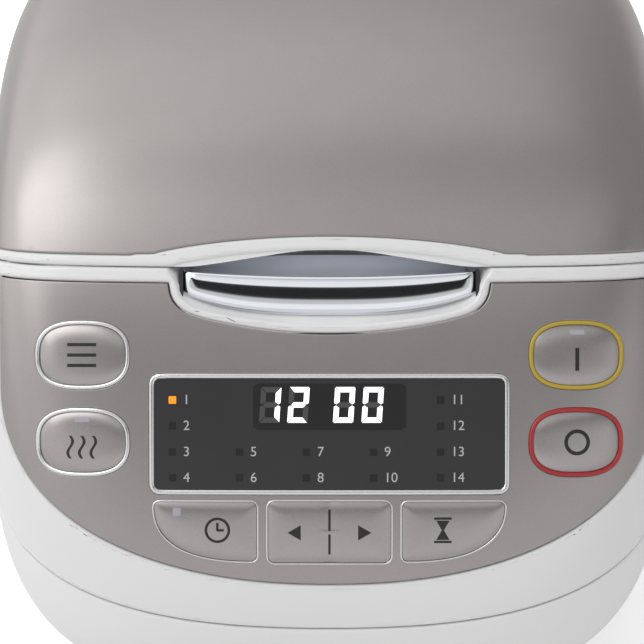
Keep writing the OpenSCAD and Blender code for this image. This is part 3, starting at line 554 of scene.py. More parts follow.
@dataclass(frozen=True)
class Wing(Outline):
    """Outer lower key: a flat top, an upright inner side and a bowed lower side."""

    inner: float = 27.2
    outer: float = 66.1
    top: float = -25.4
    height: float = 22.6
    r: float = 2.2
    power: float = 2.6

    def distance(self, uv: Points) -> np.ndarray:
        """Signed distance, with the corners rounded."""
        u, v = uv[:, 0] * math.copysign(1, self.u), uv[:, 1]
        n, a, b = self.power, self.outer - self.inner, self.height
        x, y = np.maximum(0, u - self.inner), np.maximum(0, self.top - v)
        size = np.maximum(((x / a) ** n + (y / b) ** n) ** (1 / n), TINY)
        slope = np.hypot((x / a) ** (n - 1) / a, (y / b) ** (n - 1) / b) * size ** (1 - n)
        bow = (size - 1) / np.maximum(slope, 1e-3)
        sides = np.stack([self.inner - u, v - self.top, bow], axis=1) + self.r
        outside = np.linalg.norm(np.maximum(sides, 0), axis=1)
        return outside + np.minimum(sides.max(axis=1), 0) - self.r


def numbered_circle(
    bm: bmesh.types.BMesh, count: int, filled: bool = False
) -> tuple[list[bmesh.types.BMVert], bmesh.types.BMLayerItem]:
    """Adds a circle whose vertices, and what is extruded from them, carry their number.

    Args:
        bm: Empty mesh.
        count: Vertices of the circle.
        filled: Whether a face fills the circle.

    Returns:
        The vertices and the layer that holds their numbers.
    """
    turn = bm.verts.layers.int.new("turn")
    verts = bmesh.ops.create_circle(bm, segments=count, radius=1.0, cap_ends=filled)["verts"]
    for number, vert in enumerate(verts):
        vert[turn] = number
    return verts, turn


def bead(width: float, inner: float, shoulder: float, crown: float, foot: float, flank: float) -> list:
    """Section of a round ring, as pairs of inset and height.

    Args:
        width: Width of the ring.
        inner: Height of its inner edge.
        shoulder: Height of its shoulders.
        crown: Height of its middle.
        foot: Height of its foot.
        flank: Place of the inner shoulder as a share of the width.

    Returns:
        The section for loft.
    """
    rise = [(width, foot), (width, inner), (width * flank, shoulder), (width * 0.5, crown)]
    return [*rise, (width * 0.2, shoulder), (EDGE_GAP, 0.1), (EDGE_GAP, foot)]


def loft(outline: Outline, profile: Sequence[tuple[float, float]], count: int = 144) -> bmesh.types.BMesh:
    """Closed ring on the panel: the outline swept through a closed profile.

    Args:
        outline: Outline that the ring follows.
        profile: Pairs of inset and height, in order round the section.
        count: Points round the outline.

    Returns:
        The ring's mesh.
    """
    bm = bmesh.new()
    verts, turn = numbered_circle(bm, count)
    edges = start = bm.edges[:]
    for step, (inset, height) in enumerate(profile):
        if step:
            verts, edges = extend(bm, edges)
        loop = outline.loop(inset, count)
        places = np.array([[*loop[v[turn]], height] for v in verts])
        move_to(verts, FORM.lift(places))
    bmesh.ops.bridge_loops(bm, edges=start + edges)
    bmesh.ops.recalc_face_normals(bm, faces=bm.faces[:])
    return bm


def pad(
    outline: Outline,
    height: Field,
    skirt: float,
    steps: Sequence[float],
    shrink: Sequence[float] = (0.8, 0.6, 0.4, 0.2),
    count: int = 144,
) -> bmesh.types.BMesh:
    """Closed cushion on the panel whose top follows a height over u, v.

    Args:
        outline: Outline of the cushion.
        height: Height of the top over the skin, from panel points.
        skirt: Height of the underside, below the top.
        steps: Insets of the rings from the edge.
        shrink: Scales of the rings inside the last step.
        count: Points round the outline.

    Returns:
        The cushion's mesh.
    """
    bm = bmesh.new()
    verts, turn = numbered_circle(bm, count, filled=True)
    edges = bm.edges[:]
    loop = outline.loop(steps[0], count)
    move_to(verts, FORM.lift(np.array([[*loop[v[turn]], skirt] for v in verts])))
    middle = np.array([outline.u, outline.v])
    last = outline.loop(steps[-1], count)
    loops = [outline.loop(step, count) for step in steps] + [middle + (last - middle) * s for s in shrink]
    for loop in loops:
        verts, edges = extend(bm, edges)
        places = np.array([loop[v[turn]] for v in verts])
        move_to(verts, FORM.lift(np.column_stack([places, height(places)])))
    bmesh.ops.contextual_create(bm, geom=edges)
    bmesh.ops.poke(bm, faces=[f for f in bm.faces if len(f.verts) == count and f.calc_area() < 40])
    bmesh.ops.recalc_face_normals(bm, faces=bm.faces[:])
    return bm


def drape(bm: bmesh.types.BMesh, u: float, v: float, height: Field) -> bmesh.types.BMesh:
    """Lays a flat mesh on the panel: x is across, y is up and z is over the given height."""
    verts = bm.verts[:]
    places = coordinates(verts) + [u, v, 0]
    places[:, 2] += height(places[:, :2])
    move_to(verts, FORM.lift(places))
    return bm


def flat_height(level: float) -> Field:
    """Height field that is the same everywhere."""
    return lambda uv: np.full(len(uv), level)


def join(parts: Iterable[bmesh.types.BMesh]) -> bmesh.types.BMesh:
    """One mesh from several."""
    whole = bmesh.new()
    for part in parts:
        mesh = bpy.data.meshes.new("part")
        part.to_mesh(mesh)
        part.free()
        whole.from_mesh(mesh)
        bpy.data.meshes.remove(mesh)
    return whole


def node_mesh(node: str) -> bmesh.types.BMesh:
    """Copy of a frame node's mesh in millimetres, merged and with its flat faces whole."""
    bm = bmesh.new()
    bm.from_mesh(frame["nodes"][node].data)
    bmesh.ops.scale(bm, vec=Vector((1, 1, 1)) / MM, verts=bm.verts)
    bmesh.ops.remove_doubles(bm, verts=bm.verts, dist=0.002)
    return bm


def soften(node: str, radius: float, segments: int = 2, sharp: float = 28.0) -> bmesh.types.BMesh:
    """Copy of a frame node with its sharp edges rounded.

    Args:
        node: Name of the node.
        radius: Radius of the rounding.
        segments: Faces across the rounding.
        sharp: Angle in degrees past which an edge is rounded.

    Returns:
        The rounded mesh.
    """
    bm = node_mesh(node)
    bmesh.ops.dissolve_limit(bm, angle_limit=math.radians(0.6), verts=bm.verts[:], edges=bm.edges[:])
    edges = [e for e in bm.edges if e.is_manifold and abs(e.calc_face_angle()) > math.radians(sharp)]
    round_edges(bm, edges, radius, segments, clamp=True)
    return bm


def inset_core(node: str, depth: float, reach: float) -> bmesh.types.BMesh:
    """Copy of a frame node whose outer faces are drawn in, so that a smooth skin covers them.

    Args:
        node: Name of the node.
        depth: Depth of the drawn-in faces under the skin.
        reach: Depth down to which a vertex counts as outer.

    Returns:
        The inner structure.
    """
    bm = node_mesh(node)
    verts = bm.verts[:]
    places = coordinates(verts)
    depths = FORM.depth(places)
    outer = depths < reach
    step = np.where(outer, depth - np.clip(depths, 0, depth), 0)
    move_to(verts, places - FORM.normal(places) * step[:, None])
    return bm


# ---------------------------------------------------------------- finishes
class Term:
    """Value socket that takes part in arithmetic and adds a Math node for each step."""

    def __init__(self, graph: "Graph", socket: bpy.types.NodeSocket) -> None:
        """Wraps a socket of a graph."""
        self.graph = graph
        self.socket = socket

    def _math(self, operation: str, *values: Union["Term", float]) -> "Term":
        """Result of a Math node."""
        return self.graph.value("ShaderNodeMath", {"operation": operation}, dict(enumerate(values)))

    def __add__(self, other: Union["Term", float]) -> "Term":
        """Sum."""
        return self._math("ADD", self, other)

    __radd__ = __add__

    def __sub__(self, other: Union["Term", float]) -> "Term":
        """Difference."""
        return self._math("SUBTRACT", self, other)

    def __rsub__(self, other: float) -> "Term":
        """Difference from a number."""
        return self._math("SUBTRACT", other, self)

    def __mul__(self, other: Union["Term", float]) -> "Term":
        """Product."""
        return self._math("MULTIPLY", self, other)

    __rmul__ = __mul__

    def clamped(self) -> "Term":
        """The value kept between 0 and 1."""
        return self._math("MINIMUM", self._math("MAXIMUM", self, 0.0), 1.0)


Input = Union[Term, bpy.types.NodeSocket, float, tuple]


class Graph:
    """Node tree that is filled by expressions."""

    def __init__(self, tree: bpy.types.NodeTree) -> None:
        """Empties a tree and works in it."""
        self.tree = tree
        tree.nodes.clear()

    def node(
        self,
        kind: str,
        settings: Optional[dict] = None,
        inputs: Optional[dict[Union[str, int], Input]] = None,
    ) -> bpy.types.Node:
        """Makes a node.

        Args:
            kind: Type of the node.
            settings: Its settings, set first; "stops" holds a ramp's positions and colours.
            inputs: Values or links of its sockets by name or number.

        Returns:
            The node.
        """
        made = self.tree.nodes.new(kind)
        for name, value in (settings or {}).items():
            if name == "stops":
                self._stops(made.color_ramp, value)
            else:
                setattr(made, name, value)
        for name, value in (inputs or {}).items():
            socket = made.inputs[name]
            source = value.socket if isinstance(value, Term) else value
            if isinstance(source, bpy.types.NodeSocket):
                self.tree.links.new(source, socket)
            else:
                socket.default_value = source
        return made

    @staticmethod
    def _stops(ramp: bpy.types.ColorRamp, stops: Sequence[tuple[float, tuple]]) -> None:
        """Sets a ramp's stops."""
        while len(ramp.elements) < len(stops):
            ramp.elements.new(1.0)
        for element, (position, colour) in zip(ramp.elements, stops):
            element.position = position
            element.color = (*colour, 1.0)

    def value(
        self,
        kind: str,
        settings: Optional[dict] = None,
        inputs: Optional[dict] = None,
        output: Union[str, int] = 0,
    ) -> Term:
        """Output of a new node as a term."""
        return Term(self, self.node(kind, settings, inputs).outputs[output])

    def place(self) -> bpy.types.NodeSocket:
        """Place on the piece in the frame, in metres."""
        return self.node("ShaderNodeTexCoord").outputs["Object"]

    def noise(self, scale: float, detail: float = 2.0, stretch: tuple = (1.0, 1.0, 1.0)) -> Term:
        """Noise over the piece between 0 and 1.

        Args:
            scale: Waves per metre.
            detail: Octaves.
            stretch: Factors of the three directions.

        Returns:
            The noise.
        """
        where = self.node("ShaderNodeMapping", None, {"Vector": self.place(), "Scale": stretch}).outputs[0]
        return self.value(
            "ShaderNodeTexNoise", None, {"Vector": where, "Scale": scale, "Detail": detail}, "Fac"
        )

    def blend(self, share: Input, low: Input, high: Input) -> bpy.types.NodeSocket:
        """Colour between two colours."""
        mix = self.node("ShaderNodeMix", {"data_type": "RGBA"}, {0: share, 6: low, 7: high})
        return mix.outputs[2]

    def bump(self, height: Term, strength: float, distance: float) -> bpy.types.NodeSocket:
        """Normal of a height in metres."""
        return self.node(
            "ShaderNodeBump", None, {"Strength": strength, "Distance": distance, "Height": height}
        ).outputs[0]


def shade(colour: Sequence[float], factor: float) -> tuple:
    """A colour made lighter or darker, with alpha."""
    return (*[min(1.0, c * factor) for c in colour], 1.0)


@dataclass(frozen=True)
class Finish:
    """Finish of a surface; a subclass says how it is painted."""

    slot: str
    colour: tuple
    rough: float = 0.4

    def inputs(self, g: Graph) -> dict:
        """Inputs of the surface shader."""
        raise NotImplementedError

    def tones(self, g: Graph, share: Term, low: float, high: float) -> bpy.types.NodeSocket:
        """The colour between two brightnesses of it.

        Args:
            g: Graph of the material.
            share: Where between the two, 0 to 1.
            low: Factor at 0.
            high: Factor at 1.

        Returns:
            The colour's socket.
        """
        return g.blend(share, shade(self.colour, low), shade(self.colour, high))

    def material(self, name: str) -> bpy.types.Material:
        """The finish as a material, made once under a name."""
        found = bpy.data.materials.get(name)
        if found:
            return found
        made = bpy.data.materials.new(name)
        made.use_nodes = True
        g = Graph(made.node_tree)
        surface = g.node("ShaderNodeBsdfPrincipled", None, self.inputs(g))
        g.node("ShaderNodeOutputMaterial", None, {"Surface": surface.outputs[0]})
        return made


@dataclass(frozen=True)
class Moulded(Finish):
    """Moulded plastic with a faint skin texture."""

    gloss: float = 0.0
    texture: float = 0.00002
    grain: float = 900.0

    def inputs(self, g: Graph) -> dict:
        """Colour that drifts a little, a fine skin and an optional clear gloss."""
        drift = g.noise(9.0, 3.0)
        fine = g.noise(self.grain, 2.0)
        return {
            "Base Color": self.tones(g, drift, 0.97, 1.02),
            "Roughness": self.rough - 0.04 + 0.08 * fine,
            "Coat Weight": self.gloss,
            "Coat Roughness": 0.08,
            "Normal": g.bump(fine, 0.25, self.texture),
        }


@dataclass(frozen=True)
class FlakePaint(Finish):
    """Metallic paint: fine flakes that catch the light under a satin clear coat."""

    flake: float = 2600.0
    metal: float = 0.85

    def inputs(self, g: Graph) -> dict:
        """Flakes as spots of colour and roughness."""
        flakes = g.noise(self.flake, 1.0)
        cloud = g.noise(60.0, 3.0)
        spots = 0.75 * flakes + 0.25 * cloud
        return {
            "Base Color": self.tones(g, spots, 0.86, 1.14),
            "Metallic": self.metal,
            "Roughness": self.rough - 0.05 + 0.1 * flakes,
            "Normal": g.bump(flakes, 0.12, 0.00003),
        }


@dataclass(frozen=True)
class Metal(Finish):
    """Bare or plated metal, polished or brushed along an axis."""

    brush: float = 0.0
    stretch: tuple = (1.0, 40.0, 40.0)

    def inputs(self, g: Graph) -> dict:
        """Hairlines as roughness and a shallow bump."""
        lines = g.noise(60.0, 3.0, self.stretch)
        stain = g.noise(22.0, 3.0)
        return {
            "Base Color": self.tones(g, stain, 0.95, 1.03),
            "Metallic": 1.0,
            "Roughness": (self.rough * (0.8 + 0.4 * stain) + self.brush * (lines - 0.5)).clamped(),
            "Normal": g.bump(lines, self.brush, 0.00002),
        }


@dataclass(frozen=True)
class Enamel(Finish):
    """Coloured lacquer on a key ring."""

    def inputs(self, g: Graph) -> dict:
        """Even colour with faint orange peel."""
        peel = g.noise(700.0, 2.0)
        return {
            "Base Color": self.tones(g, g.noise(80.0), 0.93, 1.05),
            "Roughness": self.rough - 0.04 + 0.08 * peel,
            "Coat Weight": 0.3,
            "Coat Roughness": 0.15,
            "Normal": g.bump(peel, 0.2, 0.00002),
        }


@dataclass(frozen=True)
class Acrylic(Finish):
    """Dark window with a smooth face."""

    def inputs(self, g: Graph) -> dict:
        """Faint cloud under a smooth face."""
        cloud = g.noise(40.0, 3.0)
        return {
            "Base Color": self.tones(g, cloud, 0.9, 1.08),
            "Roughness": self.rough + 0.03 * cloud,
            "Specular IOR Level": 0.3,
        }


@dataclass(frozen=True)
class Lit(Finish):
    """Segment or lamp that shines."""

    strength: float = 1.0

    def inputs(self, g: Graph) -> dict:
        """Light that is a little stronger in the middle of the grain."""
        glow = g.noise(500.0, 1.0)
        return {
            "Base Color": shade(self.colour, 0.8),
            "Roughness": self.rough,
            "Emission Color": self.tones(g, glow, 0.94, 1.0),
            "Emission Strength": self.strength,
        }


@dataclass(frozen=True)
class Print(Finish):
    """Screen-printed ink."""

    def inputs(self, g: Graph) -> dict:
        """Ink with a soft tooth."""
        tooth = g.noise(1500.0, 2.0)
        return {
            "Base Color": self.tones(g, tooth, 0.9, 1.1),
            "Roughness": self.rough,
            "Normal": g.bump(tooth, 0.1, 0.00001),
        }


@dataclass(frozen=True)
class Board(Finish):
    """Solder mask with copper tracks under it."""

    def inputs(self, g: Graph) -> dict:
        """Tracks as a grid of thin lines, broken by cells."""
        inputs = {"Vector": g.place(), "Scale": 180.0}
        cells = g.value("ShaderNodeTexVoronoi", {"feature": "DISTANCE_TO_EDGE"}, inputs)
        track = 1 - (cells * 18.0).clamped()
        return {
            "Base Color": self.tones(g, track, 0.9, 2.2),
            "Roughness": self.rough + 0.15 * track,
            "Normal": g.bump(track, 0.4, 0.00005),
        }


@dataclass(frozen=True)
class Coating(Finish):
    """Non-stick coating with pale specks."""

    def inputs(self, g: Graph) -> dict:
        """Small specks on a dark ground."""
        inputs = {"Vector": g.place(), "Scale": 420.0}
        dots = g.value("ShaderNodeTexVoronoi", None, inputs, "Distance")
        speck = 1 - (dots * 7.0).clamped()
        return {
            "Base Color": g.blend(speck, shade(self.colour, 1.0), (0.42, 0.42, 0.43, 1.0)),
            "Metallic": 0.35,
            "Roughness": self.rough + 0.1 * speck,
            "Normal": g.bump(g.noise(1200.0), 0.2, 0.00003),
        }


@dataclass(frozen=True)
class Frosted(Finish):
    """Translucent moulded plastic."""

    def inputs(self, g: Graph) -> dict:
        """Milky plastic that lets some light through."""
        mist = g.noise(50.0, 3.0)
        return {
            "Base Color": self.tones(g, mist, 0.95, 1.03),
            "Roughness": self.rough + 0.08 * mist,
            "Transmission Weight": 0.55,
            "IOR": 1.46,
        }


class Finishes(Enum):
    """The finishes of the cooker, by material slot."""

    WHITE_SHELL = Moulded("white_shell", (0.83, 0.83, 0.835), 0.3, gloss=0.25)
    WHITE_BASE = Moulded("white_base", (0.86, 0.86, 0.86), 0.45, texture=0.00004)
    CHAMPAGNE = FlakePaint("champagne", (0.36, 0.335, 0.33), 0.34)
    SILVER = Metal("silver", (0.72, 0.72, 0.73), 0.24)
    SMOKE = Acrylic("smoke", (0.04, 0.04, 0.042), 0.3)
    LIT_WHITE = Lit("lit_white", (0.95, 0.96, 1.0), 0.4, strength=1.05)
    UNLIT_GREY = Acrylic("unlit_grey", (0.018, 0.018, 0.019), 0.35)
    AMBER = Lit("amber", (1.0, 0.24, 0.005), 0.4, strength=1.0)
    YELLOW = Enamel("yellow", (0.5, 0.36, 0.035), 0.35)
    RED = Enamel("red", (0.42, 0.015, 0.02), 0.35)
    KEY_GREY = FlakePaint("key_grey", (0.39, 0.365, 0.36), 0.3)
    LAMP = Moulded("lamp", (0.42, 0.41, 0.46), 0.4, gloss=0.2)
    BOARD = Board("board", (0.015, 0.09, 0.035), 0.35)
    BLACK_PLASTIC = Moulded("black_plastic", (0.02, 0.02, 0.022), 0.45)
    STEEL = Metal("steel", (0.56, 0.56, 0.57), 0.3, brush=0.12)
    GALVANISED = Metal("galvanised", (0.6, 0.61, 0.62), 0.42, brush=0.15)
    CAST = Metal("cast", (0.62, 0.62, 0.63), 0.5, brush=0.2, stretch=(6.0, 6.0, 6.0))
    BRASS = Metal("brass", (0.7, 0.52, 0.24), 0.3, brush=0.1)
    POT_COAT = Coating("pot_coat", (0.05, 0.05, 0.052), 0.42)
    SEAL = Moulded("seal", (0.3, 0.3, 0.31), 0.6)
    FOOT = Moulded("foot", (0.035, 0.035, 0.035), 0.7)
    WHITE_PART = Moulded("white_part", (0.74, 0.74, 0.73), 0.42)
    CLEAR_CUP = Frosted("clear_cup", (0.82, 0.85, 0.87), 0.22)
    CHROME = Metal("chrome", (0.8, 0.82, 0.86), 0.07)
    LID_METAL = Metal("lid_metal", (0.66, 0.66, 0.67), 0.28, brush=0.14)
    DISH = Metal("chrome", (0.84, 0.87, 0.94), 0.45)
    INK_BLACK = Print("key_grey", (0.012, 0.011, 0.011), 0.45)
    INK_PALE = Print("smoke", (0.5, 0.5, 0.51), 0.5)
    UNLIT_BAR = Acrylic("smoke", (0.085, 0.082, 0.082), 0.35)

    def material(self) -> bpy.types.Material:
        """The finish's material, named after its member."""
        return self.value.material(f"{self.name.lower()}_finish")

    @classmethod
    def of_slot(cls, slot: str) -> "Finishes":
        """The finish of a record slot."""
        return next(f for f in cls if f.value.slot == slot)


# ---------------------------------------------------------------- finishing a piece
def add_object(name: str, data: bpy.types.ID) -> bpy.types.Object:
    """Object of some data, linked into the scene."""
    item = bpy.data.objects.new(name, data)
    bpy.context.scene.collection.objects.link(item)
    return item


def finish(
    name: str,
    bm: bmesh.types.BMesh,
    body: str,
    look: Finishes,
    replaces: Sequence[str] = (),
    angle: float = 38.0,
) -> bpy.types.Object:
    """Turns a mesh in millimetres into a finished piece.

    Args:
        name: Name of the piece.
        bm: Its mesh, freed here.
        body: Body of the frame that it rides on.
        look: Its finish.
        replaces: Frame nodes that it stands for.
        angle: Angle in degrees past which an edge stays sharp.

    Returns:
        The piece.
    """
    bmesh.ops.scale(bm, vec=Vector((MM, MM, MM)), verts=bm.verts)
    mesh = bpy.data.meshes.new(name)
    bm.to_mesh(mesh)
    bm.free()
    mesh.shade_smooth()
    mesh.set_sharp_from_angle(angle=math.radians(angle))
    piece = add_object(name, mesh)
    mesh.materials.append(look.material())
    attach(piece, body)
    if replaces:
        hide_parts(*replaces)
    LOG.info("%s: %d faces, rides on %s", name, len(mesh.polygons), body)
    return piece


def dress(node: str, look: Finishes) -> None:
    """Gives a frame node its finish."""
    data = frame["nodes"][node].data
    data.materials.clear()
    data.materials.append(look.material())


# ---------------------------------------------------------------- shells
@dataclass
class Shells:
    """Outer mouldings: lower case, shoulder frame, panel and lid."""

    wall: float = 2.6
    panel_wall: float = 2.4
    cover_wall: float = 2.2
    skin_wall: float = 1.6
    core_depth: float = 1.3
    core_reach: float = 1.1
    edge: float = 0.5
    rim_edge: float = 1.5
    rim_support: float = 1.65
    case_low: float = 6.0
    joint: float = 0.18
    seam_gap: float = 0.6
    lid_rim: float = 4.85
    body_rim: float = 6.5
    eye_rim: float = 3.6
    lid_eye_rim: float = 5.2
    panel_gap: float = 0.4
    barrel_r: float = 7.5
    barrel_x: float = 60.0
    cover_rear: float = 4.0
    dew_x: float = 31.0
    dew_z: tuple = (100.0, 134.0)
    inlet_x: tuple = (-62.0, -26.0)
    inlet_z: tuple = (43.0, 69.0)
    vent_y: float = 95.0
    vent_half: tuple = (31.0, 23.0)
    vent_n: float = 2.6
    eye_y: float = -40.0
    rear_y: float = 120.0
    dome: Skin = field(default_factory=Skin.dome)

    def build(self, holes: Sequence[Outline]) -> None:
        """Builds the four mouldings.

        Args:
            holes: Openings of the panel.
        """
        self.lower_case()
        self.upper_frame()
        self.control_panel(holes)
        self.lid_frame()
        self.lid_cover()

    def lower_case(self) -> None:
        """Matte bowl under the parting line."""
        bm = bmesh.new()
        verts = bmesh.ops.create_circle(bm, segments=240, radius=1.0)["verts"]
        rows, edges = 30, bm.edges[:]
        flat = coordinates(verts)
        top = LINES.part_z - self.joint
        for row in range(rows + 1):
            if row:
                verts, edges = extend(bm, edges)
                flat = coordinates(verts) - [0, FORM.plan_y, 0]
            rays = flat * [1.0, 1.0, 0.0] if row else flat * [FORM.half_w, FORM.rear_reach, 0]
            rays /= np.linalg.norm(rays, axis=1)[:, None]
            share = row / rows
            height = np.full(len(verts), self.case_low)
            for _ in range(3):
                start = np.column_stack([np.zeros(len(verts)), np.full(len(verts), FORM.plan_y), height])
                places = FORM.hit(start, rays)
                rim = top + LINES.part_rise * (places[:, 0] / 100) ** 2
                height = self.case_low + (rim - self.case_low) * share
            move_to(verts, places)
        skin = Skin(bm)
        rear = self._window(self.inlet_x, self.inlet_z)
        self._cut_window(skin, self.inlet_x, self.inlet_z, rear)
        bm = skin.wall(self.wall, self.edge)
        finish("lower_case_skin", bm, "housing", Finishes.WHITE_BASE, ["lower_case"])

    @staticmethod
    def _window(across: tuple, up: tuple, margin: float = 5.0) -> Field:
        """Field that is negative round a window in the rear wall."""
        return lambda p: np.maximum.reduce(
            [
                across[0] - margin - p[:, 0],
                p[:, 0] - across[1] - margin,
                up[0] - margin - p[:, 2],
                p[:, 2] - up[1] - margin,
                80.0 - p[:, 1],
            ]
        )

    @staticmethod
    def _cut_window(skin: Skin, across: tuple, up: tuple, near: Field) -> None:
        """Cuts a rectangular window into the rear wall."""
        for level in across:
            skin.score(lambda p, level=level: p[:, 0] - level, near)
        for level in up:
            skin.score(lambda p, level=level: p[:, 2] - level, near)
        inside = Shells._window(across, up, 0.0)
        skin.drop(lambda p: -inside(p))

    def upper_frame(self) -> None:
        """Glossy shoulder with the rim round the panel and the eye, and the block behind the lid."""
        skin = self.dome.copy()
        skin.trim(lambda p: -LINES.parting(p, self.joint))
        ahead: Field = lambda p: p[:, 1] - LINES.hinge_y - 3
        skin.score(LINES.seam, ahead)
        skin.score(lambda p: p[:, 1] - LINES.hinge_y, lambda p: LINES.seam_z - 4 - p[:, 2])
        skin.drop(lambda p: np.minimum(LINES.seam(p), LINES.hinge_y - p[:, 1]))
        trough = self.barrel_r + 1.5
        between: Field = lambda p: np.maximum(np.abs(p[:, 0]) - self.barrel_x - 3, self.rear_y - p[:, 1])
        skin.score(lambda p: np.abs(p[:, 0]) - self.barrel_x - 0.3, lambda p: LINES.hinge(p, trough + 4))
        skin.score(lambda p: LINES.hinge(p, trough), between)
        skin.drop(lambda p: -np.maximum(LINES.hinge(p, trough), np.abs(p[:, 0]) - self.barrel_x - 0.3))
        rim: Field = lambda p: LINES.seam(p, -self.body_rim)
        eye: Field = lambda p: LINES.eye_bowl(p, self.eye_rim)
        skin.score(LINES.bib, lambda p: np.maximum(p[:, 1] - 10, LINES.seam(p) + 3))
        skin.score(rim, lambda p: np.maximum(p[:, 1], np.abs(p[:, 0]) - 128))
        skin.score(eye, lambda p: np.maximum(LINES.seam(p) + 1, p[:, 1] - self.eye_y))
        skin.drop(lambda p: np.minimum.reduce([-LINES.bib(p), -rim(p), eye(p), -p[:, 1] - 20]))
        skin.score(LINES.eye_bowl, lambda p: p[:, 1] - self.eye_y)
        skin.drop(lambda p: np.minimum(-LINES.eye_bowl(p), self.eye_y - p[:, 1]))
        window = self._window((-self.dew_x, self.dew_x), self.dew_z)
        self._cut_window(skin, (-self.dew_x, self.dew_x), self.dew_z, window)
        bm = skin.wall(self.skin_wall, self.rim_edge, self.rim_support)
        finish("upper_frame_skin", bm, "housing", Finishes.WHITE_SHELL, ["upper_frame"])
        core = inset_core("upper_frame", self.core_depth, self.core_reach)
        finish("upper_frame_core", core, "housing", Finishes.WHITE_SHELL, ["upper_frame"], angle=25.0)

    def control_panel(self, holes: Sequence[Outline]) -> None:
        """Metallic bib that carries the display and the keys.

        Args:
            holes: Openings of the panel.
        """
        skin = Skin.front(half_u=128.0, low_v=-60.0, high_v=66.0, cell=1.6)
        skin.trim(lambda p: LINES.bib(p, self.panel_gap))
        skin.trim(lambda p: LINES.seam(p, -self.body_rim - self.panel_gap))
        skin.trim(lambda p: -LINES.eye_bowl(p, self.eye_rim + self.panel_gap))
        for hole in holes:
            skin.score(hole.field(), hole.near())
            skin.drop(lambda p, hole=hole: -hole.field()(p))
        bm = skin.wall(self.panel_wall, 0.35, support=0.5)
        finish("control_panel_skin", bm, "housing", Finishes.CHAMPAGNE, ["control_panel"])

    def _lid_skin(self) -> Skin:
        """Skin over the seam, less the space round the hinge."""
        skin = self.dome.copy()
        skin.trim(lambda p: -LINES.seam(p, self.seam_gap))
        skin.trim(lambda p: p[:, 1] - LINES.hinge_y + self.seam_gap)
        skin.trim(lambda p: -LINES.hinge(p, self.barrel_r + 1.2), lambda p: self.rear_y - p[:, 1])
        return skin

    def _over_rim(self, p: Points, shift: float) -> np.ndarray:
        """Field that is positive where the metallic cover is, moved outwards by shift."""
        grow = self.lid_eye_rim - shift
        eye = np.maximum(LINES.eye_bowl(p, grow), LINES.eye_arch(p, grow))
        eye = np.where(p[:, 1] < self.eye_y, eye, 50.0)
        rear = LINES.hinge_y - self.cover_rear + shift - p[:, 1]
        return np.minimum.reduce([LINES.seam(p, self.seam_gap + self.lid_rim - shift), eye, rear])

    def _score_rim(self, skin: Skin, shift: float) -> None:
        """Cuts the line between rim and cover."""
        grow = self.lid_eye_rim - shift
        skin.score(lambda p: LINES.seam(p, self.seam_gap + self.lid_rim - shift))
        skin.score(lambda p: LINES.hinge_y - self.cover_rear + shift - p[:, 1], lambda p: 150 - p[:, 2])
        front: Field = lambda p: np.maximum(p[:, 1] - self.eye_y, np.abs(p[:, 0]) - 75)
        skin.score(lambda p: LINES.eye_arch(p, grow), front)

    def lid_frame(self) -> None:
        """Glossy rim of the lid with the arch over the eye, and the structure behind it."""
        skin = self._lid_skin()
        shift = -0.08
        self._score_rim(skin, shift)
        skin.drop(lambda p: self._over_rim(p, shift))
        front: Field = lambda p: np.maximum(p[:, 1] - self.eye_y, np.abs(p[:, 0]) - 62)
        skin.trim(lambda p: -LINES.eye_arch(p), front)
        bm = skin.wall(self.skin_wall, self.rim_edge, self.rim_support)
        finish("lid_frame_skin", bm, "lid", Finishes.WHITE_SHELL, ["lid_frame"])
        core = inset_core("lid_frame", self.core_depth, self.core_reach)
        finish("lid_frame_core", core, "lid", Finishes.WHITE_SHELL, ["lid_frame"], angle=25.0)

    def lid_cover(self) -> None:
        """Metallic dome of the lid with the opening of the steam vent."""
        skin = self._lid_skin()
        shift = 0.08
        self._score_rim(skin, shift)
        skin.drop(lambda p: -self._over_rim(p, shift))
        a, b = self.vent_half

        def vent(p: Points) -> np.ndarray:
            """Field of the steam vent's opening."""
            across = (np.abs(p[:, 0]) / a) ** self.vent_n
            along = (np.abs(p[:, 1] - self.vent_y) / b) ** self.vent_n
            return 1 - (across + along) ** (1 / self.vent_n)

        skin.trim(vent, lambda p: np.abs(p[:, 1] - self.vent_y) - b - 6)
        bm = skin.wall(self.cover_wall, 0.6)
        finish("lid_cover_skin", bm, "lid", Finishes.CHAMPAGNE, ["lid_cover"])


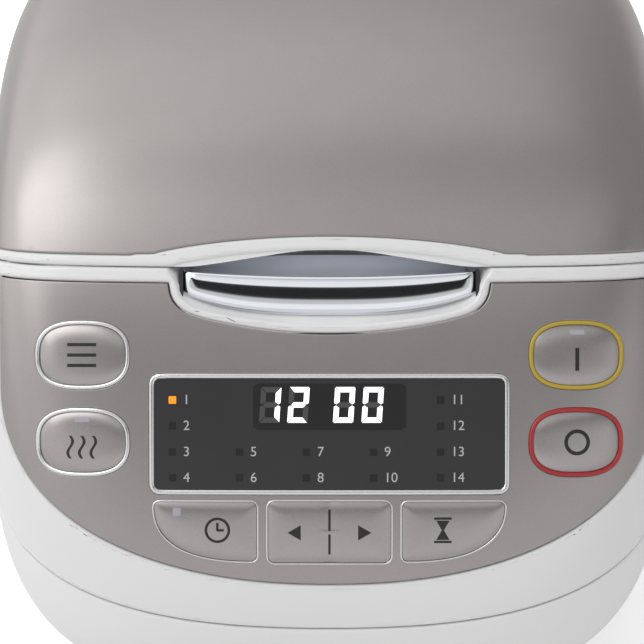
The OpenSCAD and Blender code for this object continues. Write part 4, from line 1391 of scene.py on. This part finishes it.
# ---------------------------------------------------------------- keys
@dataclass
class Keys:
    """Keys, their rings and their lamps, with plain symbols."""

    oval_u: float = 93.0
    top_v: float = 29.6
    low_v: float = -3.2
    ring_w: float = 1.6
    fit: float = 0.14
    rocker_v: float = -36.9
    rocker_w: float = 46.4
    rocker_h: float = 23.4
    skirt: float = -4.2
    dome: float = 1.0
    soft: float = 2.6
    rim_drop: float = 0.15
    lamp_v: float = 8.6
    lamp_w: float = 5.6
    lamp_h: float = 1.9

    def __post_init__(self) -> None:
        """Sets the outlines of the openings."""
        self.menu = Oval(-self.oval_u, self.top_v)
        self.warm = Oval(-self.oval_u, self.low_v)
        self.start = Oval(self.oval_u, self.top_v)
        self.off = Oval(self.oval_u, self.low_v)
        self.rocker = Box(0.0, self.rocker_v, self.rocker_w, self.rocker_h, 2.6)
        self.timer = Wing(-43.0, -35.5)
        self.cooking = Wing(43.0, -35.5)

    def holes(self) -> list[Outline]:
        """Openings that the keys need in the panel."""
        return [self.menu, self.warm, self.start, self.off, self.rocker, self.timer, self.cooking]

    def cushion(self, outline: Outline, edge: float) -> Field:
        """Height of a key's top: a dome with soft edges.

        Args:
            outline: Outline of the key.
            edge: Inset of the key's edge from that outline.

        Returns:
            Height over the skin from panel points.
        """

        def height(uv: Points) -> np.ndarray:
            """Height of the top at panel points."""
            inside = np.maximum(0, -outline.distance(uv) - edge)
            return self.dome * (1 - np.exp(-inside / self.soft)) - self.rim_drop

        return height

    def rocker_top(self, uv: Points) -> np.ndarray:
        """Height of the rocker: two cushions with a valley between them."""
        top = self.cushion(self.rocker, self.fit)(uv)
        return top - 0.35 * np.exp(-((uv[:, 0] / 2.4) ** 2))

    def build(self) -> None:
        """Builds the rings, the keys and their marks."""
        self.rings()
        self.caps()
        self.beads()
        self.marks()
        self.lamps()

    def rings(self) -> None:
        """Raised rings round the oval keys."""
        section = bead(self.ring_w, 0.2, 0.5, 0.66, foot=-2.0, flank=0.82)
        sets = (
            ("silver_rings_bead", [self.menu, self.warm], Finishes.SILVER, "silver_rings"),
            ("start_ring_bead", [self.start], Finishes.YELLOW, "start_ring"),
            ("off_ring_bead", [self.off], Finishes.RED, "off_ring"),
        )
        for name, outlines, look, node in sets:
            finish(name, join(loft(o, section) for o in outlines), "housing", look, [node], angle=60.0)

    def caps(self) -> None:
        """Tops of the keys."""
        steps = (0.0, 0.25, 0.6, 1.0, 1.6, 2.4, 3.4, 4.6, 6.0, 7.5)
        edge = self.ring_w + self.fit
        ovals = (
            ("menu", self.menu, "menu_key"),
            ("keep_warm", self.warm, "warm_key"),
            ("start", self.start, "start_key"),
            ("off", self.off, "off_key"),
        )
        for body, outline, node in ovals:
            bm = pad(outline, self.cushion(outline, edge), self.skirt, [edge + s for s in steps])
            finish(f"{node}_cap", bm, body, Finishes.KEY_GREY, [node])
        wings = (("timer", self.timer, "timer_key"), ("cooking", self.cooking, "cook_key"))
        for body, outline, node in wings:
            bm = pad(outline, self.cushion(outline, self.fit), self.skirt, [self.fit + s for s in steps[:-1]])
            finish(f"{node}_cap", bm, body, Finishes.KEY_GREY, [node])
        bm = pad(self.rocker, self.rocker_top, self.skirt, [self.fit + s for s in steps])
        finish("rocker_key_cap", bm, "rocker", Finishes.KEY_GREY, ["rocker_key"])

    def beads(self) -> None:
        """Thin raised beads round the lower keys, whose silver colour is a painted highlight on the holes'
        edges.
        """
        inner = [(EDGE_GAP, -1.0), (EDGE_GAP, 0.12), (-0.2, 0.26)]
        section = [*inner, (-0.45, 0.22), (-0.62, 0.03), (-0.62, -1.0)]
        rings = join(loft(o, section, count=192) for o in (self.timer, self.rocker, self.cooking))
        # Painted highlight: the silver finish stands for the light on the bevelled edges of the holes.
        finish("lower_key_highlight_beads", rings, "housing", Finishes.SILVER, angle=60.0)

    def lamps(self) -> None:
        """Lamp windows let into the keys."""
        warm_v, start_v = self.low_v + self.lamp_v, self.top_v + self.lamp_v
        lamps = (
            ("warm_lamp", "keep_warm", Box(-self.oval_u, warm_v, self.lamp_w, self.lamp_h, 0.2), self.warm),
            ("start_lamp", "start", Box(self.oval_u, start_v, self.lamp_w, self.lamp_h, 0.2), self.start),
            ("timer_lamp", "timer", Box(-57.3, -29.2, 3.0, 3.0, 0.2), self.timer),
        )
        for node, body, outline, key in lamps:
            edge = self.fit if key is self.timer else self.ring_w + self.fit
            top = self.cushion(key, edge)
            height: Field = lambda uv, top=top: top(uv) + 0.04
            bm = pad(outline, height, -0.4, (0.0, 0.1, 0.3), shrink=(0.6, 0.3), count=48)
            finish(f"{node}_window", bm, body, Finishes.LAMP, [node])

    def marks(self) -> None:
        """Plain symbols printed on the keys."""
        edge = self.ring_w + self.fit
        ovals = (
            ("menu", self.menu, [bar(0, dy, 11.0, 1.25) for dy in (3.9, 0.0, -3.9)]),
            ("keep_warm", self.warm, [wave(dx, -1.8, 8.6) for dx in (-4.4, 0.0, 4.4)]),
            ("start", self.start, [bar(0, -1.6, 1.5, 8.6)]),
            ("off", self.off, [hoop(0, 0, 4.2, 1.4)]),
        )
        for body, outline, parts in ovals:
            bm = drape(join(parts), outline.u, outline.v, self._ink(self.cushion(outline, edge)))
            finish(f"{body}_mark", bm, body, Finishes.INK_BLACK)
        clock = [hoop(0, 0, 4.3, 1.0), bar(0, 1.3, 0.95, 3.0), bar(1.1, 0, 2.6, 0.95)]
        cones = [triangle(0, 2.2, 2.9, -90), triangle(0, -2.2, 2.9, 90)]
        glass = [*cones, bar(0, 4.4, 6.6, 0.9), bar(0, -4.4, 6.6, 0.9)]
        wings = (("timer", self.timer, -42.0, clock), ("cooking", self.cooking, 42.5, glass))
        for body, outline, u, parts in wings:
            bm = drape(join(parts), u, -36.0, self._ink(self.cushion(outline, self.fit)))
            finish(f"{body}_mark", bm, body, Finishes.INK_BLACK)
        parts = [triangle(-12.4, 0, 3.3, 180), triangle(12.4, 0, 3.3, 0), bar(0, 0.2, 0.9, 17.0)]
        bm = drape(join(parts), 0.0, self.rocker_v, self._ink(self.rocker_top))
        finish("rocker_mark", bm, "rocker", Finishes.INK_BLACK)

    @staticmethod
    def _ink(top: Field) -> Field:
        """Height of ink on a key's top."""
        return lambda uv: top(uv) + 0.03


def bar(x: float, y: float, w: float, h: float) -> bmesh.types.BMesh:
    """Flat bar about x, y."""
    bm = bmesh.new()
    cells = (max(1, round(w / 0.8)), max(1, round(h / 0.8)))
    bmesh.ops.create_grid(bm, x_segments=cells[0], y_segments=cells[1], size=0.5)
    bmesh.ops.scale(bm, vec=Vector((w, h, 1)), verts=bm.verts)
    bmesh.ops.translate(bm, vec=Vector((x, y, 0)), verts=bm.verts)
    return bm


def triangle(x: float, y: float, r: float, turn: float) -> bmesh.types.BMesh:
    """Flat triangle about x, y that points along turn degrees."""
    bm = bmesh.new()
    bmesh.ops.create_circle(bm, segments=3, radius=r, cap_ends=True)
    rotation = Matrix.Rotation(math.radians(turn - 90), 3, "Z")
    bmesh.ops.rotate(bm, cent=Vector(), matrix=rotation, verts=bm.verts)
    bmesh.ops.subdivide_edges(bm, edges=bm.edges[:], cuts=3, use_grid_fill=True)
    bmesh.ops.translate(bm, vec=Vector((x, y, 0)), verts=bm.verts)
    return bm


def hoop(x: float, y: float, r: float, w: float) -> bmesh.types.BMesh:
    """Flat ring of mean radius r and width w about x, y."""
    bm = bmesh.new()
    bmesh.ops.create_circle(bm, segments=48, radius=r - w / 2)
    outer, _ = extend(bm, bm.edges[:])
    grow = (r + w / 2) / (r - w / 2)
    bmesh.ops.scale(bm, vec=Vector((grow, grow, 1)), verts=outer)
    bmesh.ops.translate(bm, vec=Vector((x, y, 0)), verts=bm.verts)
    return bm


def wave(x: float, y: float, h: float) -> bmesh.types.BMesh:
    """Upright wavy stroke about x, y."""
    bm = bar(0, 0, 1.1, h)
    for vert in bm.verts:
        vert.co.x += 0.95 * math.sin(vert.co.y / h * 2 * math.pi)
    bmesh.ops.translate(bm, vec=Vector((x, y, 0)), verts=bm.verts)
    return bm


def numeral(text: str, x: float, y: float, h: float) -> bmesh.types.BMesh:
    """Printed number whose left end is at x and whose middle is at y.

    Args:
        text: Digits.
        x: Left end.
        y: Middle of the height.
        h: Height of a digit.

    Returns:
        The flat mesh.
    """
    curve = bpy.data.curves.new("numeral", "FONT")
    curve.body = text
    curve.size = h / 0.7
    curve.align_y = "CENTER"
    item = add_object("numeral", curve)
    bpy.context.view_layer.update()
    mesh = bpy.data.meshes.new_from_object(item.evaluated_get(bpy.context.evaluated_depsgraph_get()))
    bm = bmesh.new()
    bm.from_mesh(mesh)
    bpy.data.meshes.remove(mesh)
    bpy.data.objects.remove(item)
    bpy.data.curves.remove(curve)
    bmesh.ops.translate(bm, vec=Vector((x, y, 0)), verts=bm.verts)
    return bm


# ---------------------------------------------------------------- display
@dataclass
class Display:
    """Dark window with seven-segment digits and numbered menu squares in a silver frame."""

    w: float = 135.4
    h: float = 45.6
    band: float = 1.9
    window_w: float = 57.2
    window_h: float = 17.4
    window_v: float = 10.3
    digit_u: tuple = (-22.2, -11.6, 5.5, 16.2)
    digit_v: float = 11.0
    digit_w: float = 7.6
    digit_h: float = 13.4
    segment: float = 2.0
    slant: float = 0.066
    lit: tuple = ("bc", "abged", "abcdef", "abcdef")
    mark_u: tuple = (-58.9, -33.7, -8.6, 16.5, 41.6)
    mark_v: tuple = (12.8, 3.1, -6.7, -16.4)
    mark: float = 2.8
    label_h: float = 3.6
    pane_top: float = -0.15
    plate_top: float = -0.11
    mark_top: float = -0.1
    bar_top: float = -0.07

    def __post_init__(self) -> None:
        """Sets the display's outline."""
        self.outline = Box(0.0, 0.0, self.w, self.h, 4.0)

    def build(self) -> None:
        """Builds the frame, the window, the digits and the marks."""
        b = self.band
        ring = loft(self.outline, bead(b, 0.1, 0.42, 0.56, foot=-1.6, flank=0.8), count=320)
        finish("display_frame", ring, "housing", Finishes.SILVER, ["display_bezel"], angle=60.0)
        pane = Box(0.0, 0.0, self.w - 2 * b + 0.1, self.h - 2 * b + 0.1, 2.2)
        shrink = (0.9, 0.75, 0.6, 0.45, 0.3, 0.15)
        top = flat_height(self.pane_top)
        bm = pad(pane, top, -2.0, (0.0, 0.2, 3.0, 8.0, 14.0), shrink=shrink, count=240)
        finish("display_pane", bm, "housing", Finishes.SMOKE, ["display_window"])
        plate = Box(0.0, self.window_v, self.window_w, self.window_h, 1.0)
        shrink = (0.85, 0.7, 0.5, 0.3)
        top = flat_height(self.plate_top)
        bm = pad(plate, top, -0.4, (0.0, 0.1, 2.0, 5.0), shrink=shrink, count=120)
        finish("digit_pane", bm, "housing", Finishes.UNLIT_GREY, ["digit_plate"])
        self.digits()
        self.marks()

    def stroke(self, name: str) -> bmesh.types.BMesh:
        """One segment of a digit as a flat bar with mitred ends, about the digit's middle."""
        w, h, t, gap = self.digit_w, self.digit_h, self.segment, 0.22
        bm = bmesh.new()
        x, y, m = w / 2, h / 2, t / 2
        corners = {
            "a": [(-x + gap, y), (x - gap, y), (x - t, y - t), (-x + t, y - t)],
            "d": [(-x + t, -y + t), (x - t, -y + t), (x - gap, -y), (-x + gap, -y)],
            "g": [(-x + t, m), (x - t, m), (x - t * 0.55, 0), (x - t, -m), (-x + t, -m), (-x + t * 0.55, 0)],
            "b": [(x, y - gap), (x, gap + 0.5), (x - t * 0.4, gap), (x - t, m + 0.1), (x - t, y - t - gap)],
        }
        corners["c"] = [(px, -py) for px, py in reversed(corners["b"])]
        mirrored = {"f": "b", "e": "c"}
        points = corners[mirrored.get(name, name)]
        if name in mirrored:
            points = [(-px, py) for px, py in reversed(points)]
        verts = [bm.verts.new((px + py * self.slant, py, 0.0)) for px, py in points]
        bmesh.ops.contextual_create(bm, geom=verts)
        return bm

    def digits(self) -> None:
        """Lit and unlit segments of the four digits."""
        for on, name, look, node in (
            (True, "digits_lit_bars", Finishes.LIT_WHITE, "digits_lit"),
            (False, "digits_unlit_bars", Finishes.UNLIT_BAR, "digits_unlit"),
        ):
            parts = []
            for u, lit in zip(self.digit_u, self.lit):
                for letter in "abcdefg":
                    if (letter in lit) == on:
                        parts.append(drape(self.stroke(letter), u, self.digit_v, flat_height(self.bar_top)))
            finish(name, join(parts), "housing", look, [node])

    def marks(self) -> None:
        """Squares of the menu and the plain numbers beside them."""
        outer = (self.mark_u[0], self.mark_u[-1])
        low = self.mark_v[2:]
        places = [(u, v) for u in self.mark_u for v in self.mark_v if v in low or u in outer]
        top = flat_height(self.mark_top)
        squares, numbers = [], []
        for number, (u, v) in enumerate(places, start=1):
            square = Box(u, v, self.mark, self.mark, 0.15)
            squares.append(pad(square, top, -0.4, (0.0, 0.05), shrink=(0.5,), count=32))
            numbers.append(drape(numeral(str(number), 4.0, 0.0, self.label_h), u, v, top))
        finish("menu_lamp_square", squares[0], "housing", Finishes.AMBER, ["menu_lamp"])
        finish("menu_squares", join(squares[1:]), "housing", Finishes.UNLIT_GREY, ["menu_markers"])
        finish("menu_numbers", join(numbers), "housing", Finishes.INK_PALE)


# ---------------------------------------------------------------- latch
@dataclass
class Latch:
    """Chrome push button in the eye: a bowed bar with a satin finger dish behind its ridge."""

    reach: float = 54.9
    low: tuple = (44.6, 8.1, 2.9)
    ridge: tuple = (59.0, 2.0)
    crest: float = 0.6
    sunk: float = 0.9
    end: tuple = (5.5, 2.4)
    ways: tuple = (0.0, 0.2, 0.3, 0.42, 0.72, 0.76, 0.88, 1.0)
    turns: tuple = (-43.0, -14.0, -6.0, -1.5, 1.6, 5.0, 12.0, 44.0)
    dish_reach: float = 51.5
    dish_back: tuple = (-69.4, 177.8, 3.2)
    dish_dip: float = 1.3
    shell: float = 1.5
    gap_u: float = 55.75
    gap_v: float = 57.0
    skin_v: float = 52.0

    def build(self) -> None:
        """Builds the bar, the dish and black strips at the bar's ends, which paint the shade in the eye's
        deep side gaps.
        """
        bar_mesh = self._sheet(self.reach, 48, self.bar, FORM.panel_n)
        finish("open_button_bar", bar_mesh, "button", Finishes.CHROME, ["open_button"], angle=50.0)
        dish = self._sheet(self.dish_reach, 20, self.dish, np.array([0.0, 0.0, 1.0]))
        finish("open_button_dish", dish, "button", Finishes.DISH, ["open_button"], angle=50.0)
        # Painted shade: black strips stand for the shadow in the steep side gaps of the eye's recess.
        sides = [Box(u, self.gap_v, 1.3, 11.0, 0.4) for u in (-self.gap_u, self.gap_u)]
        top = flat_height(-1.3)
        shade_strips = [pad(side, top, -6.0, (0.0, 0.2), shrink=(0.5,), count=48) for side in sides]
        finish("eye_gap_shade_strips", join(shade_strips), "housing", Finishes.BLACK_PLASTIC)

    def _sheet(self, reach: float, rows: int, place: Callable, out: Points) -> bmesh.types.BMesh:
        """Closed plate whose face is a function of u and of the way across it, 0 to 1."""
        bm = bmesh.new()
        bmesh.ops.create_grid(bm, x_segments=120, y_segments=rows, size=1.0)
        verts = bm.verts[:]
        flat = coordinates(verts)
        move_to(verts, place(flat[:, 0] * reach, (flat[:, 1] + 1) / 2))
        inner = double(bm)
        move_to(inner, coordinates(inner) - out * self.shell)
        bmesh.ops.recalc_face_normals(bm, faces=bm.faces[:])
        return bm

    def bar(self, u: np.ndarray, way: np.ndarray) -> Points:
        """Face of the bar from its lower edge to its ridge."""
        low = self.low[0] + self.low[1] * np.abs(u / self.reach) ** self.low[2]
        high = self.ridge[0] + self.ridge[1] * (u / self.reach) ** 2
        steps = np.linspace(0, 1, 401)
        slope = -np.tan(np.radians(np.interp(steps, self.ways, self.turns)))
        rise = np.concatenate([[0], np.cumsum((slope[1:] + slope[:-1]) / 2 * np.diff(steps))])
        rise -= np.interp(self.crest, steps, rise)
        skin = FORM.on_skin(np.column_stack([u, np.full(len(u), self.skin_v)])) @ FORM.panel_n
        close = np.clip((np.abs(u) - self.reach + self.end[0]) / self.end[0], 0, 1)
        h = skin - self.sunk + (high - low) * np.interp(way, steps, rise)
        h -= self.end[1] * (1 - np.sqrt(1 - close**2))
        v = low + (high - low) * way + FORM.panel_v0
        places = np.outer(h, FORM.panel_n) + np.outer(v, FORM.panel_up)
        places[:, 0] = u
        return places

    def dish(self, u: np.ndarray, way: np.ndarray) -> Points:
        """Face of the finger dish from just under the ridge to the back."""
        front = self.bar(u, np.ones(len(u)))
        y, z, fall = self.dish_back
        back = np.column_stack([u, np.full(len(u), y), z - fall * (u / self.reach) ** 2])
        places = front + (back - front) * way[:, None]
        places[:, 2] -= 0.35 + self.dish_dip * np.sin(way * math.pi)
        return places


# ---------------------------------------------------------------- everything else
@dataclass
class Fittings:
    """Frame nodes that keep their shape: small ones get round edges, the rest a finish."""

    softened: tuple = (
        ("vent_cap", "vent", 0.6),
        ("dew_cup", "dew", 0.5),
        ("base_plate", "housing", 0.4),
        ("power_inlet", "housing", 0.4),
        ("feet", "housing", 0.4),
    )

    def build(self) -> None:
        """Rounds and dresses the fittings."""
        slots = {p["node"]: p["material_slot"] for p in frame["record"]["subparts"]}
        softened = {node for node, _, _ in self.softened}
        for node, body, radius in self.softened:
            look = Finishes.of_slot(slots[node])
            finish(f"{node}_soft", soften(node, radius), body, look, [node], angle=30.0)
        for node, item in frame["nodes"].items():
            if node not in softened and not item.hide_render:
                dress(node, Finishes.of_slot(slots[node]))


# ---------------------------------------------------------------- studio
@dataclass
class Studio:
    """Pale floor, soft lights and the camera."""

    camera_at: tuple = (-0.0028, -0.899, 0.916)
    aim: tuple = (-0.0028, -0.0946, 0.1662)
    lens: float = 164.0
    floor_half: float = 6.0
    level: float = 0.64
    glow: float = 0.35
    front_bands: tuple = (
        (0.0, 1.0),
        (0.42, 1.0),
        (0.52, 0.65),
        (0.61, 0.6),
        (0.65, 0.02),
        (0.73, 0.02),
        (0.77, 1.0),
        (1.0, 0.85),
    )
    front_sides: tuple = ((0.0, 0.95), (0.3, 1.0), (0.5, 1.0), (0.8, 0.95), (1.0, 0.8))
    rear_bands: tuple = ((0.0, 1.0), (0.5, 1.0), (0.8, 0.95), (1.0, 0.85))
    rear_sides: tuple = ((0.0, 1.6), (0.2, 1.4), (0.35, 1.05), (0.5, 0.7), (0.7, 0.45), (1.0, 0.42))

    def build(self) -> None:
        """Builds floor, world, lamps and camera."""
        self.floor()
        self.world()
        self.lamp("key_lamp", (-1.9, -0.4, 2.4), 2.2, 28.0)
        self.lamp("top_lamp", (-0.4, 1.4, 2.4), 2.4, 7.0)
        self.camera()
        bpy.context.scene.view_settings.view_transform = "Standard"

    def floor(self) -> None:
        """White floor that keeps the shadow."""
        bm = bmesh.new()
        bmesh.ops.create_grid(bm, x_segments=1, y_segments=1, size=self.floor_half)
        mesh = bpy.data.meshes.new("floor")
        bm.to_mesh(mesh)
        bm.free()
        floor = add_object("floor", mesh)
        material = bpy.data.materials.new("floor")
        material.use_nodes = True
        g = Graph(material.node_tree)
        seen = g.value("ShaderNodeLightPath", None, None, "Is Camera Ray")
        diffuse = g.node("ShaderNodeBsdfDiffuse", None, {"Color": (0.9, 0.9, 0.9, 1.0)})
        glow = g.node("ShaderNodeEmission", None, {"Color": (1.0, 1.0, 1.0, 1.0), "Strength": self.glow})
        both = g.node("ShaderNodeAddShader", None, {0: diffuse.outputs[0], 1: glow.outputs[0]})
        mix = g.node("ShaderNodeMixShader", None, {0: seen, 1: diffuse.outputs[0], 2: both.outputs[0]})
        g.node("ShaderNodeOutputMaterial", None, {"Surface": mix.outputs[0]})
        mesh.materials.append(material)

    def world(self) -> None:
        """White backdrop for the eye, a soft even level for light, and a studio's bands in reflections."""
        world = bpy.data.worlds.new("studio")
        bpy.context.scene.world = world
        world.use_nodes = True
        g = Graph(world.node_tree)
        way = g.node("ShaderNodeTexCoord").outputs["Generated"]
        parts = g.node("ShaderNodeSeparateXYZ", None, {"Vector": way})
        x, y, z = (Term(g, parts.outputs[i]) for i in range(3))
        rays = g.node("ShaderNodeLightPath").outputs
        seen = Term(g, rays["Is Camera Ray"])
        mirrored = Term(g, rays["Is Glossy Ray"])
        through = Term(g, rays["Is Transmission Ray"])
        across = (x + 1.0) * 0.5
        front = self._ramp(g, z, self.front_bands) * self._ramp(g, across, self.front_sides)
        rear = self._ramp(g, z, self.rear_bands) * self._ramp(g, across, self.rear_sides)
        wide = front + (rear - front) * (y * 2.5 + 1.0).clamped()
        level = g.blend(mirrored, (self.level,) * 3 + (1.0,), wide)
        plain = (seen + through).clamped()
        colour = g.blend(plain, level, (1.0, 1.0, 1.0, 1.0))
        back = g.node("ShaderNodeBackground", None, {"Color": colour, "Strength": 1.0})
        g.node("ShaderNodeOutputWorld", None, {"Surface": back.outputs[0]})

    @staticmethod
    def _ramp(g: Graph, factor: Term, greys: tuple) -> Term:
        """Brightness over a factor from pairs of place and grey."""
        stops = [(place, (grey,) * 3) for place, grey in greys]
        return g.value("ShaderNodeValToRGB", {"stops": stops}, {"Fac": factor.clamped()})

    @staticmethod
    def lamp(name: str, at: tuple, size: float, power: float) -> None:
        """Square area lamp aimed at the cooker.

        Args:
            name: Name of the lamp.
            at: Its place.
            size: Length of its side.
            power: Its power in watts.
        """
        data = bpy.data.lights.new(name, "AREA")
        data.size = size
        data.energy = power
        lamp = add_object(name, data)
        lamp.location = at
        lamp.rotation_euler = (Vector((0, 0, 0.12)) - Vector(at)).to_track_quat("-Z", "Y").to_euler()

    def camera(self) -> None:
        """Camera that looks down on the panel."""
        data = bpy.data.cameras.new("camera")
        data.lens = self.lens
        data.sensor_width = 36.0
        camera = add_object("camera", data)
        camera.location = self.camera_at
        way = Vector(self.aim) - Vector(self.camera_at)
        camera.rotation_euler = way.to_track_quat("-Z", "Y").to_euler()
        bpy.context.scene.camera = camera


def main() -> None:
    """Builds the sub-assemblies in order and dresses what is left."""
    logging.basicConfig(level=logging.INFO, format="%(message)s")
    keys = Keys()
    display = Display()
    Shells().build([*keys.holes(), display.outline])
    keys.build()
    display.build()
    Latch().build()
    Fittings().build()
    Studio().build()


if __name__ == "__main__":
    main()
